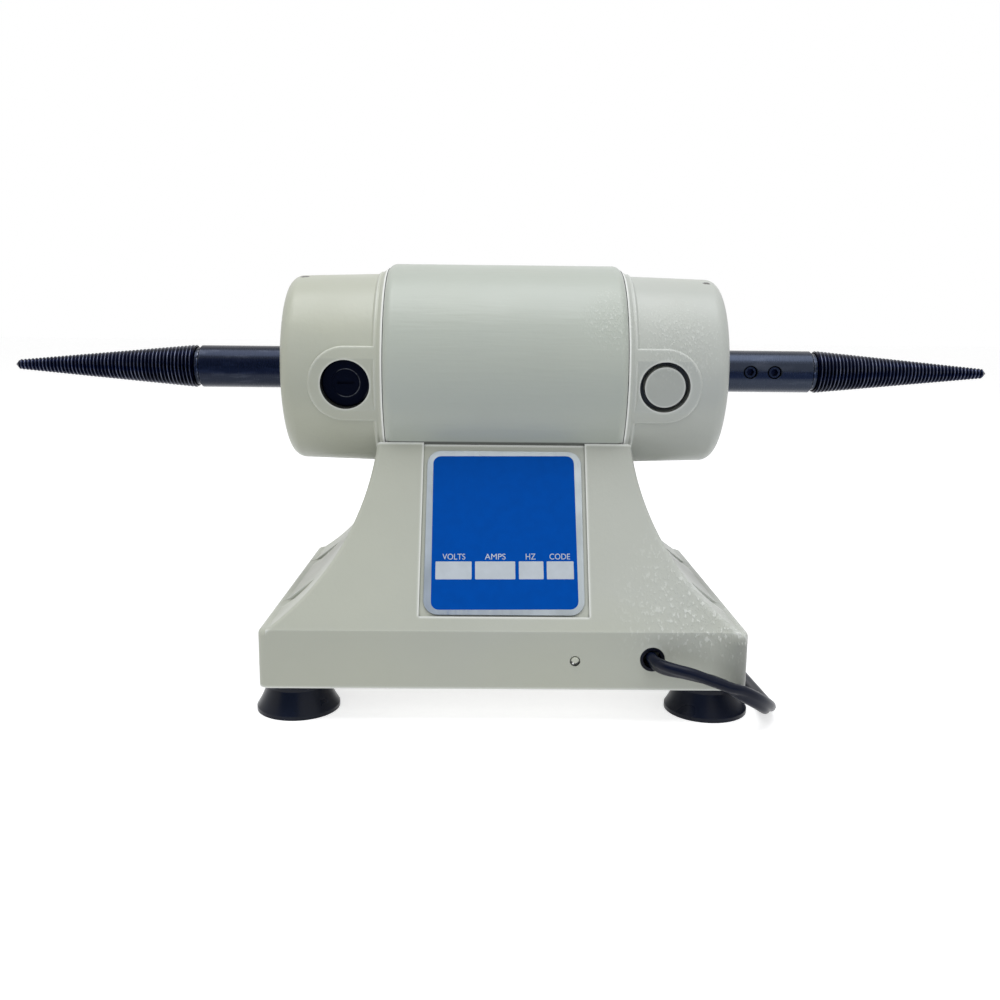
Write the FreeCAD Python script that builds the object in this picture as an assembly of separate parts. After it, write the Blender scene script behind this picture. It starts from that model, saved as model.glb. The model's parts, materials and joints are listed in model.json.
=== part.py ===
# A dental polishing lathe: a bench motor on a cast pedestal, with a tapered spindle at each end.
# Millimetres. X runs along the spindles, Y from the back (plate and cord) to the front (speed
# knob and switch), Z is up. The origin is on the bench, under the middle of the base.

import FreeCAD
import Part
import math
import os

from FreeCAD import Placement, Rotation, Vector

# Base casting
base_width = 167.0
base_depth = 130.0
base_wall = 4.0
skirt_bottom = 12.2
skirt_top = 32.6
skirt_corner_radius = 4.0
shoulder_width = 3.2
shoulder_radius = 2.0
waist_half_width = 45.6
waist_height = 98.7
arris_radius = 1.3
seat_drop = 25.2
saddle_rise = 5.2
saddle_wall = 5.0
fit_gap = 0.3

# Motor
axis_height = 117.5
shell_radius = 39.0
shell_wall = 4.5
shell_length = 86.0
shell_edge_run = 3.2
shell_edge_drop = 1.0
shell_rim_chamfer = 0.4
spigot_length = 5.0
magnet_gap = 0.8
magnet_arc = 128.0
magnet_end_gap = 4.0
armature_radius = 24.0
armature_length = 60.0
armature_middle = 3.0
slot_count = 12
slot_width = 5.0
slot_depth = 8.0
tooth_tip = 1.5
slot_mouth = 1.7
coil_margin = 0.4
coil_overhang = 9.0
coil_nose = 3.0
coil_lift = 2.0
coil_gap = 0.5
bar_count = 24
bar_gap_width = 0.5
bar_gap_depth = 1.0
commutator_radius = 13.0
commutator_length = 15.0
riser_radius = 15.0
riser_length = 2.0

# End bells, counted from the shell's radius and its ends
bell_length = 37.1
flange_drop = 1.5
flange_slope_end = 2.3
flange_width = 4.1
joint_groove_width = 0.3
joint_groove_depth = 0.8
band_drop = 2.85
mouth_drop = 3.7
nose_drop = 4.55
bell_corner_radius = 4.75
bell_wall = 3.6
bell_end_wall = 4.5
bell_tilt = 7.2
hub_wall = 4.0
hub_length = 15.0
pad_offset = 13.6
pad_radius = 13.4
pad_root = 0.6
pad_root_depth = 6.0
pad_edge_radius = 0.7
flat_drop = 1.2
brush_bore_radius = 8.75
blank_ring_radius = 9.0
blank_core_radius = 7.2
blank_ring_depth = 5.0
blank_boss_radius = 11.0
blank_boss_depth = 3.4
blank_boss_bite = 0.5
tie_bolt_circle = 27.0
tie_bolt_radius = 2.0
tie_head_radius = 3.5
tie_head_height = 2.6
tie_head_sink = 0.2
tie_fit = 0.15
tie_slot_width = 1.0
tie_slot_depth = 1.0
tie_boss_radius = 4.6
tie_boss_length = 8.0
tie_boss_bite = 0.5

# Bearings and shaft
bearing_bore_radius = 6.0
bearing_radius = 14.0
bearing_width = 8.0
ball_circle = 10.0
ball_radius = 2.2
ball_count = 7
ball_sides = 10
ball_ring_angle = math.radians(48)
outer_land_radius = 11.5
inner_land_radius = 8.7
race_gap = 0.15
washer_thickness = 0.8
washer_width = 3.0
shaft_middle_radius = 7.5
shaft_end_radius = 4.75
shaft_hole_radius = 6.6
shaft_stub = 27.4

# Spindles
spindle_gap = 0.5
spindle_length = 106.4
barrel_radius = 7.94
barrel_length = 37.4
relief_width = 1.4
relief_radius = 7.1
taper_start_radius = 7.9
taper_tip_radius = 1.3
point_length = 1.6
spindle_chamfer = 0.5
shaft_fit = 0.05
set_screw_offsets = (13.0, 22.2)
set_screw_radius = 2.45
set_screw_sink = 0.7
set_screw_chamfer = 0.4
screw_mouth_depth = 0.35
socket_radius = 1.25
socket_depth = 2.0

# Brush gear
sleeve_wall_start = 17.0
sleeve_sink = 3.4
sleeve_chamfer = 0.5
brush_width = 6.3
brush_length = 8.5
brush_gap = 0.25
brush_fit = 0.1
cap_radius = 4.8
cap_fit = 0.1
cap_thickness = 3.0
cap_slot_width = 1.0
cap_slot_reach = 3.0
cap_slot_depth = 1.0
spring_radius = 2.2
spring_wire_radius = 0.3
spring_turns = 4

# Feet and bottom cover
foot_inset_x = 11.0
foot_inset_y = 15.4
foot_lip_radius = 14.5
foot_lip_height = 1.4
foot_lip_flat = 1.2
foot_lip_curve_top = 8.8
foot_lip_curve_dip = 0.3
foot_cup_top = 2.8
foot_neck_radius = 11.0
foot_boss_radius = 9.0
foot_screw_radius = 2.1
foot_head_radius = 4.2
foot_head_height = 2.4
foot_head_sink = 3.6
foot_screw_top = 26.0
foot_slot_depth = 1.0
cover_thickness = 1.5
cover_gap = 0.5
cover_screw_x = 40.0
cover_boss_radius = 4.0
cover_boss_top = 28.0
cover_boss_bite = 0.5
cover_thread_top = 24.0
cover_screw_top = 22.0
cover_screw_radius = 1.4
cover_head_radius = 2.8
cover_head_height = 1.4
hole_margin = 0.2

# Bench screws
bench_inset_x = 7.5
bench_spacing_y = 64.0
bench_hole_radius = 2.75
bench_pocket_radius = 6.5
bench_pocket_floor = 32.5
bench_boss_radius = 8.5

# Screws in general
screw_fit = 0.05
slot_share = 0.14
small_slot_depth = 0.8

# Motor hold-down screws and lead hole
motor_screw_x = 27.0
motor_screw_radius = 2.5
motor_head_radius = 4.4
motor_head_height = 4.0
motor_pad_radius = 6.0
motor_pad_height = 1.5
motor_socket_width = 4.0
motor_socket_depth = 2.4
lead_hole_radius = 5.0

# Plate on the back
plate_width = 55.0
plate_low = 37.6
plate_high = 89.6
plate_corner_radius = 5.0
plate_thickness = 0.8
recess_depth = 1.0
recess_margin = 1.5
recess_low = 37.0

# Back of the skirt
cord_hole_x = 50.5
cord_hole_height = 23.1
cord_hole_radius = 4.25
bushing_fit = 0.05
bushing_flange_radius = 6.2
bushing_flange_thickness = 1.5
bushing_bore_radius = 3.2
earth_screw_x = 24.2
earth_screw_height = 22.4
earth_head_radius = 1.4
earth_head_proud = 0.5
earth_head_rounding = 0.6
earth_seat_radius = 1.8
earth_seat_depth = 0.9
earth_shank_radius = 1.0
earth_shank_length = 6.0
earth_nut_width = 4.0
earth_nut_height = 1.6

# Speed control on the front
knob_x = 20.0
knob_height_on_base = 60.0
knob_radius = 11.0
knob_top_radius = 9.0
knob_length = 13.0
knob_lift = 1.4
knob_skirt = 3.0
knob_shoulder = 1.5
knob_draft = 0.6
knob_edge = 1.2
knob_flute_count = 18
knob_flute_radius = 0.9
knob_bore_depth = 9.0
nut_room_height = 1.2
pot_radius = 8.5
pot_depth = 9.0
pot_collar_radius = 3.5
pot_shaft_radius = 3.0
pot_nut_width = 9.5
pot_nut_height = 2.0
pot_collar_proud = 0.6

# Rocker switch on the front
switch_x = -24.0
switch_height_on_base = 60.0
switch_bezel_width = 21.0
switch_bezel_height = 15.0
switch_bezel_thickness = 1.6
switch_bezel_corner = 1.2
switch_body_width = 19.2
switch_body_height = 12.9
switch_body_depth = 17.0
switch_wall = 1.0
rocker_radius = 8.2
rocker_pivot_depth = 2.5
rocker_end_rise = 2.0
rocker_dip_rise = 0.3
rocker_head_margin = 1.4
rocker_side_gap = 0.3
rocker_window_gap = 0.35
trunnion_radius = 1.0
trunnion_fit = 0.05
trunnion_length = 0.8
terminal_width = 4.8
terminal_thickness = 0.8
terminal_length = 7.0
terminal_spacing = 6.0

# Control board
board_length = 72.0
board_width = 50.0
board_thickness = 1.6
board_x = -8.0
standoff_height = 7.0
standoff_radius = 3.0
standoff_inset = 5.0
board_screw_radius = 1.4
board_head_radius = 2.6
board_head_height = 1.6
sink_plan = (-28.0, -10.5, -10.0, 14.0)
sink_base_height = 3.0
sink_height = 18.0
fin_count = 5
fin_pitch = 4.0
fin_thickness = 1.5
capacitor_radius = 6.5
capacitor_height = 22.0
capacitor_places = ((0.0, 12.0), (15.0, 12.0))
bridge_plan = (3.0, 18.0, -12.0, -6.0)
bridge_height = 15.0
lead_block_plan = (-22.0, 17.0, -23.0, -14.0)
lead_block_height = 10.0

# Cord
cord_width = 5.8
cord_thickness = 3.7
cord_tube_radius = 2.5
cord_height_on_bench = 2.5
bend_share = 0.45
coil_x = 50.0
coil_y = 116.0
coil_turns_across = 4
coil_layers = 2
coil_middle_radius = 32.0
coil_corner_share = 0.33
plug_thickness = 13.7
plug_width = 35.3
plug_neck_width = 12.0
plug_neck_length = 7.0
plug_shoulder_end = 14.0
plug_corner = 3.0
plug_length = 27.0
plug_edge_radius = 1.5
plug_pin_radius = 2.0
plug_pin_tip_radius = 1.2
plug_pin_length = 19.0
plug_pin_spacing = 18.6

# Where the cord goes, from the bushing to the coil, chosen by hand
cord_points = [
    (50.5, -65.2, 23.1),
    (50.8, -69.6, 23.1),
    (54.4, -73.8, 22.8),
    (62.0, -75.6, 21.8),
    (73.6, -76.0, 18.0),
    (84.2, -73.4, 12.2),
    (90.9, -65.8, 6.4),
    (93.6, -53.5, cord_height_on_bench),
    (93.2, -38.0, cord_height_on_bench),
    (92.0, -20.0, cord_height_on_bench),
    (91.6, 4.0, cord_height_on_bench),
    (92.6, 32.0, cord_height_on_bench),
    (92.4, 60.0, cord_height_on_bench),
    (91.2, 88.0, cord_height_on_bench),
    (90.7, 116.0, cord_height_on_bench),
]
tail_points = [
    (36.1, 154.2, 5.5),
    (26.0, 150.2, 3.4),
    (14.5, 146.4, 2.8),
    (2.5, 143.2, 5.2),
    (-10.0, 142.0, 6.85),
]

# Worked out from the sizes above
half_width = base_width / 2
half_depth = base_depth / 2
seat_height = axis_height - seat_drop
seat_half_depth = math.sqrt(shell_radius ** 2 - seat_drop ** 2)
lean_slope = (half_depth - seat_half_depth) / (seat_height - skirt_top)
lean_angle = math.degrees(math.atan(lean_slope))
flare_foot = half_width - shoulder_width
flare_run = flare_foot - waist_half_width
flare_rise = waist_height - skirt_top
flare_radius = (flare_run ** 2 + flare_rise ** 2) / (2 * flare_run)
flare_centre = waist_half_width + flare_radius
pedestal_top = seat_height + saddle_rise
shell_bore_radius = shell_radius - shell_wall
shell_half = shell_length / 2
bell_bore_radius = shell_bore_radius - bell_wall
bell_end = shell_half + bell_length
flange_radius = shell_radius - flange_drop
band_radius = shell_radius - band_drop
bell_mouth_radius = shell_radius - mouth_drop
bell_nose_radius = shell_radius - nose_drop
hub_radius = bearing_radius + hub_wall
pad_centre = shell_half + pad_offset
flat_distance = band_radius - flat_drop
bearing_outer_end = bell_end - bell_end_wall - washer_thickness
bearing_inner_end = bearing_outer_end - bearing_width
foot_x = half_width - foot_inset_x
foot_y = half_depth - foot_inset_y
bench_x = half_width - bench_inset_x
cover_screw_y = half_depth - base_wall - cover_boss_radius + cover_boss_bite
sleeve_end = flat_distance - sleeve_sink
brush_start = commutator_radius + brush_gap
spindle_start = bell_end + spindle_gap
spindle_tip = spindle_start + spindle_length
barrel_end = spindle_start + barrel_length
shaft_reach = spindle_start + shaft_stub
screw_places = [spindle_start + offset for offset in set_screw_offsets]
spindle_axis = Vector(1, 0, 0)
spindle_origin = Vector(0, 0, axis_height)


# Basic shapes. Where a cut must open a surface, it runs 1 mm or more past it.

def box(x_low, x_high, y_low, y_high, z_low, z_high):
    size = (x_high - x_low, y_high - y_low, z_high - z_low)
    return Part.makeBox(*size, Vector(x_low, y_low, z_low))


def rod(radius, start, length, direction):
    return Part.makeCylinder(radius, length, start, direction)


def upright(radius, x, y, z_low, z_high):
    return rod(radius, Vector(x, y, z_low), z_high - z_low, Vector(0, 0, 1))


def along_spindle(radius, x_low, x_high):
    return rod(radius, Vector(x_low, 0, axis_height), x_high - x_low, spindle_axis)


def outline(points, place):
    """A closed wire. A point of four numbers is an arc through the first two to the last two."""
    edges = []
    here = place(*points[0])
    for point in points[1:] + points[:1]:
        there = place(*point[-2:])
        if len(point) == 4:
            edges.append(Part.Arc(here, place(*point[:2]), there).toShape())
        else:
            edges.append(Part.LineSegment(here, there).toShape())
        here = there
    return Part.Wire(edges)


def turned(points):
    """A solid turned about the spindle axis, from (x, radius) points."""
    wire = outline(points, lambda x, r: Vector(x, 0, axis_height + r))
    return Part.Face(wire).revolve(spindle_origin, spindle_axis, 360)


def turned_upright(points, x, y):
    """A solid turned about the upright line at x, y, from (radius, z) points."""
    wire = outline(points, lambda r, z: Vector(x + r, y, z))
    return Part.Face(wire).revolve(Vector(x, y, 0), Vector(0, 0, 1), 360)


def prism(points, place, sweep):
    return Part.Face(outline(points, place)).extrude(sweep)


def hexagon_prism(across_flats, start, length, direction):
    corner = across_flats / math.sqrt(3)
    points = [Vector(corner * math.cos(k * math.pi / 3), corner * math.sin(k * math.pi / 3), 0)
              for k in range(6)]
    solid = Part.Face(Part.makePolygon(points + points[:1])).extrude(Vector(0, 0, length))
    solid.Placement = Placement(start, Rotation(Vector(0, 0, 1), direction))
    return solid


def rounded_slab(width, height, radius, thickness):
    """A plate with round corners, centred on the local Z axis, standing on local Z = 0."""
    slab = Part.makeBox(width, height, thickness, Vector(-width / 2, -height / 2, 0))
    corners = [edge for edge in slab.Edges if abs(edge.tangentAt(edge.FirstParameter).z) > 0.9]
    return slab.makeFillet(radius, corners)


def upright_slot(head_radius, x, y, surface, depth):
    """The driver slot of a screw that stands upright, from its head's surface towards its shank."""
    half = head_radius * slot_share
    ends = sorted((surface - math.copysign(1, depth), surface + depth))
    return box(x - head_radius - 1, x + head_radius + 1, y - half, y + half, *ends)


def joined(shapes):
    first, *rest = shapes
    return first.fuse(rest).removeSplitter()


def mirrored(shape):
    return shape.mirror(Vector(0, 0, 0), Vector(1, 0, 0))


def turned_round_spindle(shape, angle):
    copy = shape.copy()
    copy.rotate(spindle_origin, spindle_axis, angle)
    return copy


def moved_to(shape, placement):
    copy = shape.copy()
    copy.Placement = placement.multiply(copy.Placement)
    return copy


def four_corners(x, y):
    return [(sx * x, sy * y) for sx in (-1, 1) for sy in (-1, 1)]


def save(node, *shapes):
    solids = [solid for shape in shapes for solid in shape.Solids]
    whole = solids[0] if len(solids) == 1 else Part.makeCompound(solids)
    whole.exportStep(f"parts/{node}.step")


# The leaning faces

def face_y(z):
    """How far the leaning face stands from the middle at height z."""
    return half_depth - lean_slope * (z - skirt_top)


def on_face(side, x, z):
    """A placement on the leaning face: local Z points out of it, and local Y up along it."""
    lean = math.radians(lean_angle)
    out = Vector(0, side * math.cos(lean), math.sin(lean))
    up = Vector(0, -side * math.sin(lean), math.cos(lean))
    turn = Rotation(up.cross(out), up, out, "ZXY")
    return Placement(Vector(x, side * face_y(z), z), turn)


# Base casting

def lean_prism(offset, z_low, z_high, length):
    """The base seen from the side: an upright skirt under two leaning faces."""
    lean = math.radians(lean_angle)
    low = half_depth - offset
    corner = skirt_top - offset * math.tan(lean / 2)
    high = face_y(z_high) - offset / math.cos(lean)
    points = [(-low, z_low), (-low, corner), (-high, z_high), (high, z_high), (low, corner), (low, z_low)]
    return prism(points, lambda y, z: Vector(-length / 2, y, z), Vector(length, 0, 0))


def flare_x(z, offset):
    """Half the width of the pedestal at height z."""
    return flare_centre - math.sqrt((flare_radius + offset) ** 2 - (waist_height - z) ** 2)


def flare_prism(offset, z_low, z_high, depth):
    """The base seen from the front: upright sides under two concave flares that rise to the waist."""
    side = flare_foot if offset == 0 else half_width - offset
    foot = waist_height - math.sqrt((flare_radius + offset) ** 2 - (flare_centre - side) ** 2)
    middle = (foot + z_high) / 2
    top_x = flare_x(z_high, offset)
    points = [(-side, z_low), (-side, foot), (-flare_x(middle, offset), middle, -top_x, z_high),
              (top_x, z_high), (flare_x(middle, offset), middle, side, foot), (side, z_low)]
    return prism(points, lambda x, z: Vector(x, -depth / 2, z), Vector(0, depth, 0))


def plan_block(z_low, z_high):
    """An upright block with the base's plan and its round corners."""
    block = box(-half_width, half_width, -half_depth, half_depth, z_low, z_high)
    corners = [edge for edge in block.Edges if edge.BoundBox.ZLength > 1]
    return block.makeFillet(skirt_corner_radius, corners)


def pedestal_body():
    """The outside of the base: a skirt with a round shoulder, and the leaning, flared pedestal on it."""
    skirt = plan_block(skirt_bottom, skirt_top)
    rim = [edge for edge in skirt.Edges if edge.BoundBox.ZMin > skirt_top - 0.01]
    skirt = skirt.makeFillet(shoulder_radius, rim)
    low = skirt_top - 2 * shoulder_radius
    flared = flare_prism(0, low, pedestal_top, base_depth)
    pedestal = lean_prism(0, low, pedestal_top, base_width).common(flared)
    arrises = [edge for edge in pedestal.Edges if edge.BoundBox.ZMin > low + 1 and edge.BoundBox.ZLength > 20]
    pedestal = pedestal.makeFillet(arris_radius, arrises).common(plan_block(low, pedestal_top))
    return skirt.fuse(pedestal).removeSplitter()


def base_casting():
    outer = pedestal_body()
    cavity = lean_prism(base_wall, skirt_bottom - 1, pedestal_top, base_width).common(
        flare_prism(base_wall, skirt_bottom - 1, pedestal_top, base_depth))
    cavity = cavity.cut(along_spindle(shell_radius + saddle_wall, -half_width, half_width))
    bosses = [upright(foot_boss_radius, *place, skirt_bottom, skirt_top)
              for place in four_corners(foot_x, foot_y)]
    bosses += [upright(bench_boss_radius, x, y, skirt_bottom, bench_pocket_floor)
               for x, y in four_corners(bench_x, bench_spacing_y / 2)]
    cover_low = skirt_bottom + cover_thickness
    bosses += [upright(cover_boss_radius, x, y, cover_low, cover_boss_top)
               for x, y in four_corners(cover_screw_x, cover_screw_y)]
    pad_low = axis_height - shell_radius - saddle_wall - motor_pad_height
    bosses += [upright(motor_pad_radius, x, 0, pad_low, axis_height - shell_radius)
               for x in (-motor_screw_x, motor_screw_x)]
    casting = outer.cut(cavity).fuse([boss.common(outer) for boss in bosses]).removeSplitter()
    return casting.cut(base_cuts())


def base_cuts():
    cuts = [along_spindle(shell_radius, -half_width, half_width)]
    cuts += [upright(foot_screw_radius, x, y, 0, foot_screw_top) for x, y in four_corners(foot_x, foot_y)]
    for x, y in four_corners(bench_x, bench_spacing_y / 2):
        cuts.append(upright(bench_hole_radius, x, y, 0, skirt_top))
        cuts.append(upright(bench_pocket_radius, x, y, bench_pocket_floor, axis_height))
    cuts += [upright(cover_screw_radius, x, y, 0, cover_thread_top)
             for x, y in four_corners(cover_screw_x, cover_screw_y)]
    cuts += [upright(motor_screw_radius + 2 * screw_fit, x, 0, skirt_top, axis_height)
             for x in (-motor_screw_x, motor_screw_x)]
    cuts.append(upright(lead_hole_radius, 0, 0, skirt_top, axis_height))
    cuts += [back_hole(cord_hole_x, cord_hole_height, cord_hole_radius),
             back_hole(earth_screw_x, earth_screw_height, earth_shank_radius + screw_fit),
             earth_head_seat(), plate_recess()]
    cuts += [moved_to(rod(pot_collar_radius + screw_fit, Vector(0, 0, -20), 30, Vector(0, 0, 1)),
                      on_face(1, knob_x, knob_height_on_base)),
             moved_to(switch_window(), on_face(1, switch_x, switch_height_on_base))]
    return Part.makeCompound(cuts)


def back_hole(x, z, radius):
    return rod(radius, Vector(x, -half_depth - 5, z), 20, Vector(0, 1, 0))


def earth_head_seat():
    return rod(earth_seat_radius, Vector(earth_screw_x, -half_depth - 1, earth_screw_height),
               earth_seat_depth + 1, Vector(0, 1, 0))


def plate_recess():
    rise = (pedestal_top + 5 - recess_low) / math.cos(math.radians(lean_angle))
    width = plate_width + 2 * recess_margin
    cut = Part.makeBox(width, rise, recess_depth + 5, Vector(-width / 2, 0, -recess_depth))
    return moved_to(cut, on_face(-1, 0, recess_low))


def switch_window():
    return Part.makeBox(switch_body_width, switch_body_height, 40,
                        Vector(-switch_body_width / 2, -switch_body_height / 2, -20))


def nameplate():
    height = (plate_high - plate_low) / math.cos(math.radians(lean_angle))
    plate = rounded_slab(plate_width, height, plate_corner_radius, plate_thickness)
    plate.translate(Vector(0, 0, -recess_depth))
    return moved_to(plate, on_face(-1, 0, (plate_low + plate_high) / 2))


# Feet and bottom cover

def foot(x, y):
    neck = foot_neck_radius
    lip_inner = foot_lip_radius - foot_lip_flat
    head_top = foot_head_sink + foot_head_height
    well = foot_head_radius + fit_gap
    curve_middle = (foot_lip_radius + neck) / 2 - foot_lip_curve_dip
    points = [(foot_screw_radius, head_top), (well, head_top), (well, foot_cup_top),
              (lip_inner, 0), (foot_lip_radius, 0), (foot_lip_radius, foot_lip_height),
              (curve_middle, (foot_lip_height + foot_lip_curve_top) / 2, neck, foot_lip_curve_top),
              (neck, skirt_bottom), (foot_screw_radius, skirt_bottom)]
    return turned_upright(points, x, y)


def foot_screw(x, y):
    head_low = foot_head_sink
    head_high = head_low + foot_head_height
    head = upright(foot_head_radius, x, y, head_low, head_high)
    shank = upright(foot_screw_radius - screw_fit, x, y, head_high, foot_screw_top - 1)
    return joined([head, shank]).cut(upright_slot(foot_head_radius, x, y, head_low, foot_slot_depth))


def bottom_cover():
    x = half_width - base_wall - cover_gap
    y = half_depth - base_wall - cover_gap
    low = skirt_bottom
    cover = box(-x, x, -y, y, low, low + cover_thickness)
    holes = [upright(foot_boss_radius + cover_gap, *place, 0, skirt_top)
             for place in four_corners(foot_x, foot_y)]
    holes += [upright(bench_boss_radius + cover_gap, *place, 0, skirt_top)
              for place in four_corners(bench_x, bench_spacing_y / 2)]
    for side in (-1, 1):
        near, far = sorted((side * foot_x, side * half_width))
        holes += [box(near, far, -foot_y, -bench_spacing_y / 2, 0, skirt_top),
                  box(near, far, bench_spacing_y / 2, foot_y, 0, skirt_top)]
    holes += [upright(cover_screw_radius + hole_margin, *place, 0, skirt_top)
              for place in four_corners(cover_screw_x, cover_screw_y)]
    holes += [upright(board_screw_radius + hole_margin, *place, 0, skirt_top) for place in board_corners()]
    return cover.cut(Part.makeCompound(holes))


def cover_screw(x, y):
    head = upright(cover_head_radius, x, y, skirt_bottom - cover_head_height, skirt_bottom)
    shank = upright(cover_screw_radius - screw_fit, x, y, skirt_bottom, cover_screw_top)
    low = skirt_bottom - cover_head_height
    return joined([head, shank]).cut(upright_slot(cover_head_radius, x, y, low, small_slot_depth))


# Motor

def motor_shell():
    """The tube of the motor, its two ends drawn in a little."""
    rim = shell_radius - shell_edge_drop
    curve_end = shell_half - shell_rim_chamfer
    curve_middle = shell_half - shell_edge_run * 0.45
    curve_radius = shell_radius - shell_edge_drop * 0.25
    right = [(0, shell_bore_radius), (shell_half, shell_bore_radius), (shell_half, rim - shell_rim_chamfer),
             (curve_end, rim), (curve_middle, curve_radius, shell_half - shell_edge_run, shell_radius),
             (0, shell_radius)]
    half = turned(right)
    shell = joined([half, mirrored(half)])
    cuts = [upright(motor_screw_radius, x, 0, 0, axis_height) for x in (-motor_screw_x, motor_screw_x)]
    cuts.append(upright(lead_hole_radius, 0, 0, 0, axis_height))
    return shell.cut(Part.makeCompound(cuts))


def motor_screw(x):
    seat = axis_height - shell_radius - saddle_wall - motor_pad_height
    head = upright(motor_head_radius, x, 0, seat - motor_head_height, seat)
    shank = upright(motor_screw_radius - screw_fit, x, 0, seat, axis_height - shell_bore_radius - 0.5)
    socket = hexagon_prism(motor_socket_width, Vector(x, 0, seat - motor_head_height - 1),
                           motor_socket_depth + 1, Vector(0, 0, 1))
    return joined([head, shank]).cut(socket)


def magnet(side):
    """One of the two arc magnets, behind (-1) and in front (1) of the armature."""
    x_half = shell_half - spigot_length - magnet_end_gap
    ring = along_spindle(shell_bore_radius, -x_half, x_half).cut(
        along_spindle(armature_radius + magnet_gap, -x_half - 1, x_half + 1))
    reach = 2 * shell_radius
    half = math.radians(magnet_arc / 2)
    corners = [(0, 0), (side * reach * math.cos(half), reach * math.sin(half)),
               (side * reach, 0), (side * reach * math.cos(half), -reach * math.sin(half))]
    wedge = prism(corners, lambda y, z: Vector(-x_half, y, axis_height + z), Vector(2 * x_half, 0, 0))
    return ring.common(wedge)


def bell_profile():
    """Half of the section of the right-hand bell, as (x, radius) points."""
    end = bell_end
    corner = bell_corner_radius
    bend = corner / math.sqrt(2)
    centre = (end - corner, bell_nose_radius - corner)
    inside_end = end - bell_end_wall
    pocket_end = bearing_outer_end + washer_thickness
    return [(shell_half - spigot_length, shell_bore_radius),
            (shell_half, shell_bore_radius),
            (shell_half, flange_radius - joint_groove_depth),
            (shell_half + joint_groove_width, flange_radius - joint_groove_depth),
            (shell_half + joint_groove_width, flange_radius),
            (shell_half + flange_slope_end, band_radius),
            (shell_half + flange_width - band_radius + bell_mouth_radius, band_radius),
            (shell_half + flange_width, bell_mouth_radius),
            (end - corner, bell_nose_radius),
            (centre[0] + bend, centre[1] + bend, end, bell_nose_radius - corner),
            (end, shaft_hole_radius),
            (pocket_end, shaft_hole_radius),
            (pocket_end, bearing_radius),
            (pocket_end - hub_length + bell_end_wall, bearing_radius),
            (pocket_end - hub_length + bell_end_wall, hub_radius),
            (inside_end, hub_radius),
            (inside_end, bell_bore_radius),
            (shell_half - spigot_length, bell_bore_radius)]


def brush_pad():
    """The raised pad round a brush: a round-edged bar that follows the bell's curve, with a flat on it."""
    start = shell_half + pad_root
    points = [(start, -pad_radius), (pad_centre, -pad_radius),
              (pad_centre + pad_radius, 0, pad_centre, pad_radius), (start, pad_radius)]
    low = bell_bore_radius - pad_root_depth
    bar = prism(points, lambda x, z: Vector(x, -low, axis_height + z), Vector(0, low - 2 * shell_radius, 0))
    flat = box(0, bell_end, -2 * shell_radius, -flat_distance, 0, 2 * axis_height)
    pad = bar.common(along_spindle(band_radius, 0, bell_end)).cut(flat)
    pad = pad.makeFillet(pad_edge_radius, [edge for edge in pad.Edges if is_pad_rim(edge)])
    return pad.cut(along_spindle(bell_bore_radius, 0, bell_end - bell_end_wall))


def is_pad_rim(edge):
    """Whether an edge runs round the outside of the pad's top."""
    middle = edge.valueAt((edge.FirstParameter + edge.LastParameter) / 2)
    height = abs(middle.z - axis_height)
    distance = math.hypot(max(middle.x - pad_centre, 0), height)
    across = max(edge.BoundBox.XLength, edge.BoundBox.ZLength)
    return abs(distance - pad_radius) < 0.01 and middle.y < -bell_bore_radius and across > 0.01


def port_rod(radius, start, end):
    """A rod on the brush axis of the right-hand bell, towards the back, before the bell is tilted."""
    return rod(radius, Vector(pad_centre, -start, axis_height), end - start, Vector(0, -1, 0))


def bell_blank():
    """The right-hand bell before its ports and bolt holes, with its two pads."""
    body = turned(bell_profile())
    pad = brush_pad()
    return joined([body] + [turned_round_spindle(pad, angle) for angle in (0, 180)])


def tie_places():
    return [Vector(0, 0, axis_height + sign * tie_bolt_circle) for sign in (-1, 1)]


def right_bell():
    """The bell without brushes: each port is a blank, marked by a deep ring with a boss behind it."""
    ring = port_rod(blank_ring_radius, flat_distance - blank_ring_depth, flat_distance + 2).cut(
        port_rod(blank_core_radius, 0, flat_distance + 3))
    boss_start = bell_bore_radius - blank_boss_depth
    boss = port_rod(blank_boss_radius, boss_start, bell_bore_radius + blank_boss_bite)
    body = joined([bell_blank()] + [turned_round_spindle(boss, angle) for angle in (0, 180)])
    cuts = [turned_round_spindle(ring, angle) for angle in (0, 180)]
    for place in tie_places():
        cuts.append(rod(tie_bolt_radius + tie_fit, place, bell_end + 1, spindle_axis))
        seat = place + Vector(bell_end - tie_head_height - tie_head_sink, 0, 0)
        cuts.append(rod(tie_head_radius + fit_gap, seat, tie_head_height + 1, spindle_axis))
    return turned_round_spindle(body.cut(Part.makeCompound(cuts)), bell_tilt)


def left_bell():
    bores = [turned_round_spindle(port_rod(brush_bore_radius, hub_radius, flat_distance + 2), angle)
             for angle in (0, 180)]
    inside_end = bell_end - bell_end_wall
    boss_start = Vector(inside_end - tie_boss_length, 0, 0)
    boss_length = tie_boss_length + tie_boss_bite
    bosses = [rod(tie_boss_radius, place + boss_start, boss_length, spindle_axis) for place in tie_places()]
    threads = [rod(tie_bolt_radius + screw_fit, place, inside_end, spindle_axis) for place in tie_places()]
    bell = bell_blank().fuse(bosses).cut(Part.makeCompound(bores + threads))
    return turned_round_spindle(mirrored(bell), bell_tilt)


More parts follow.
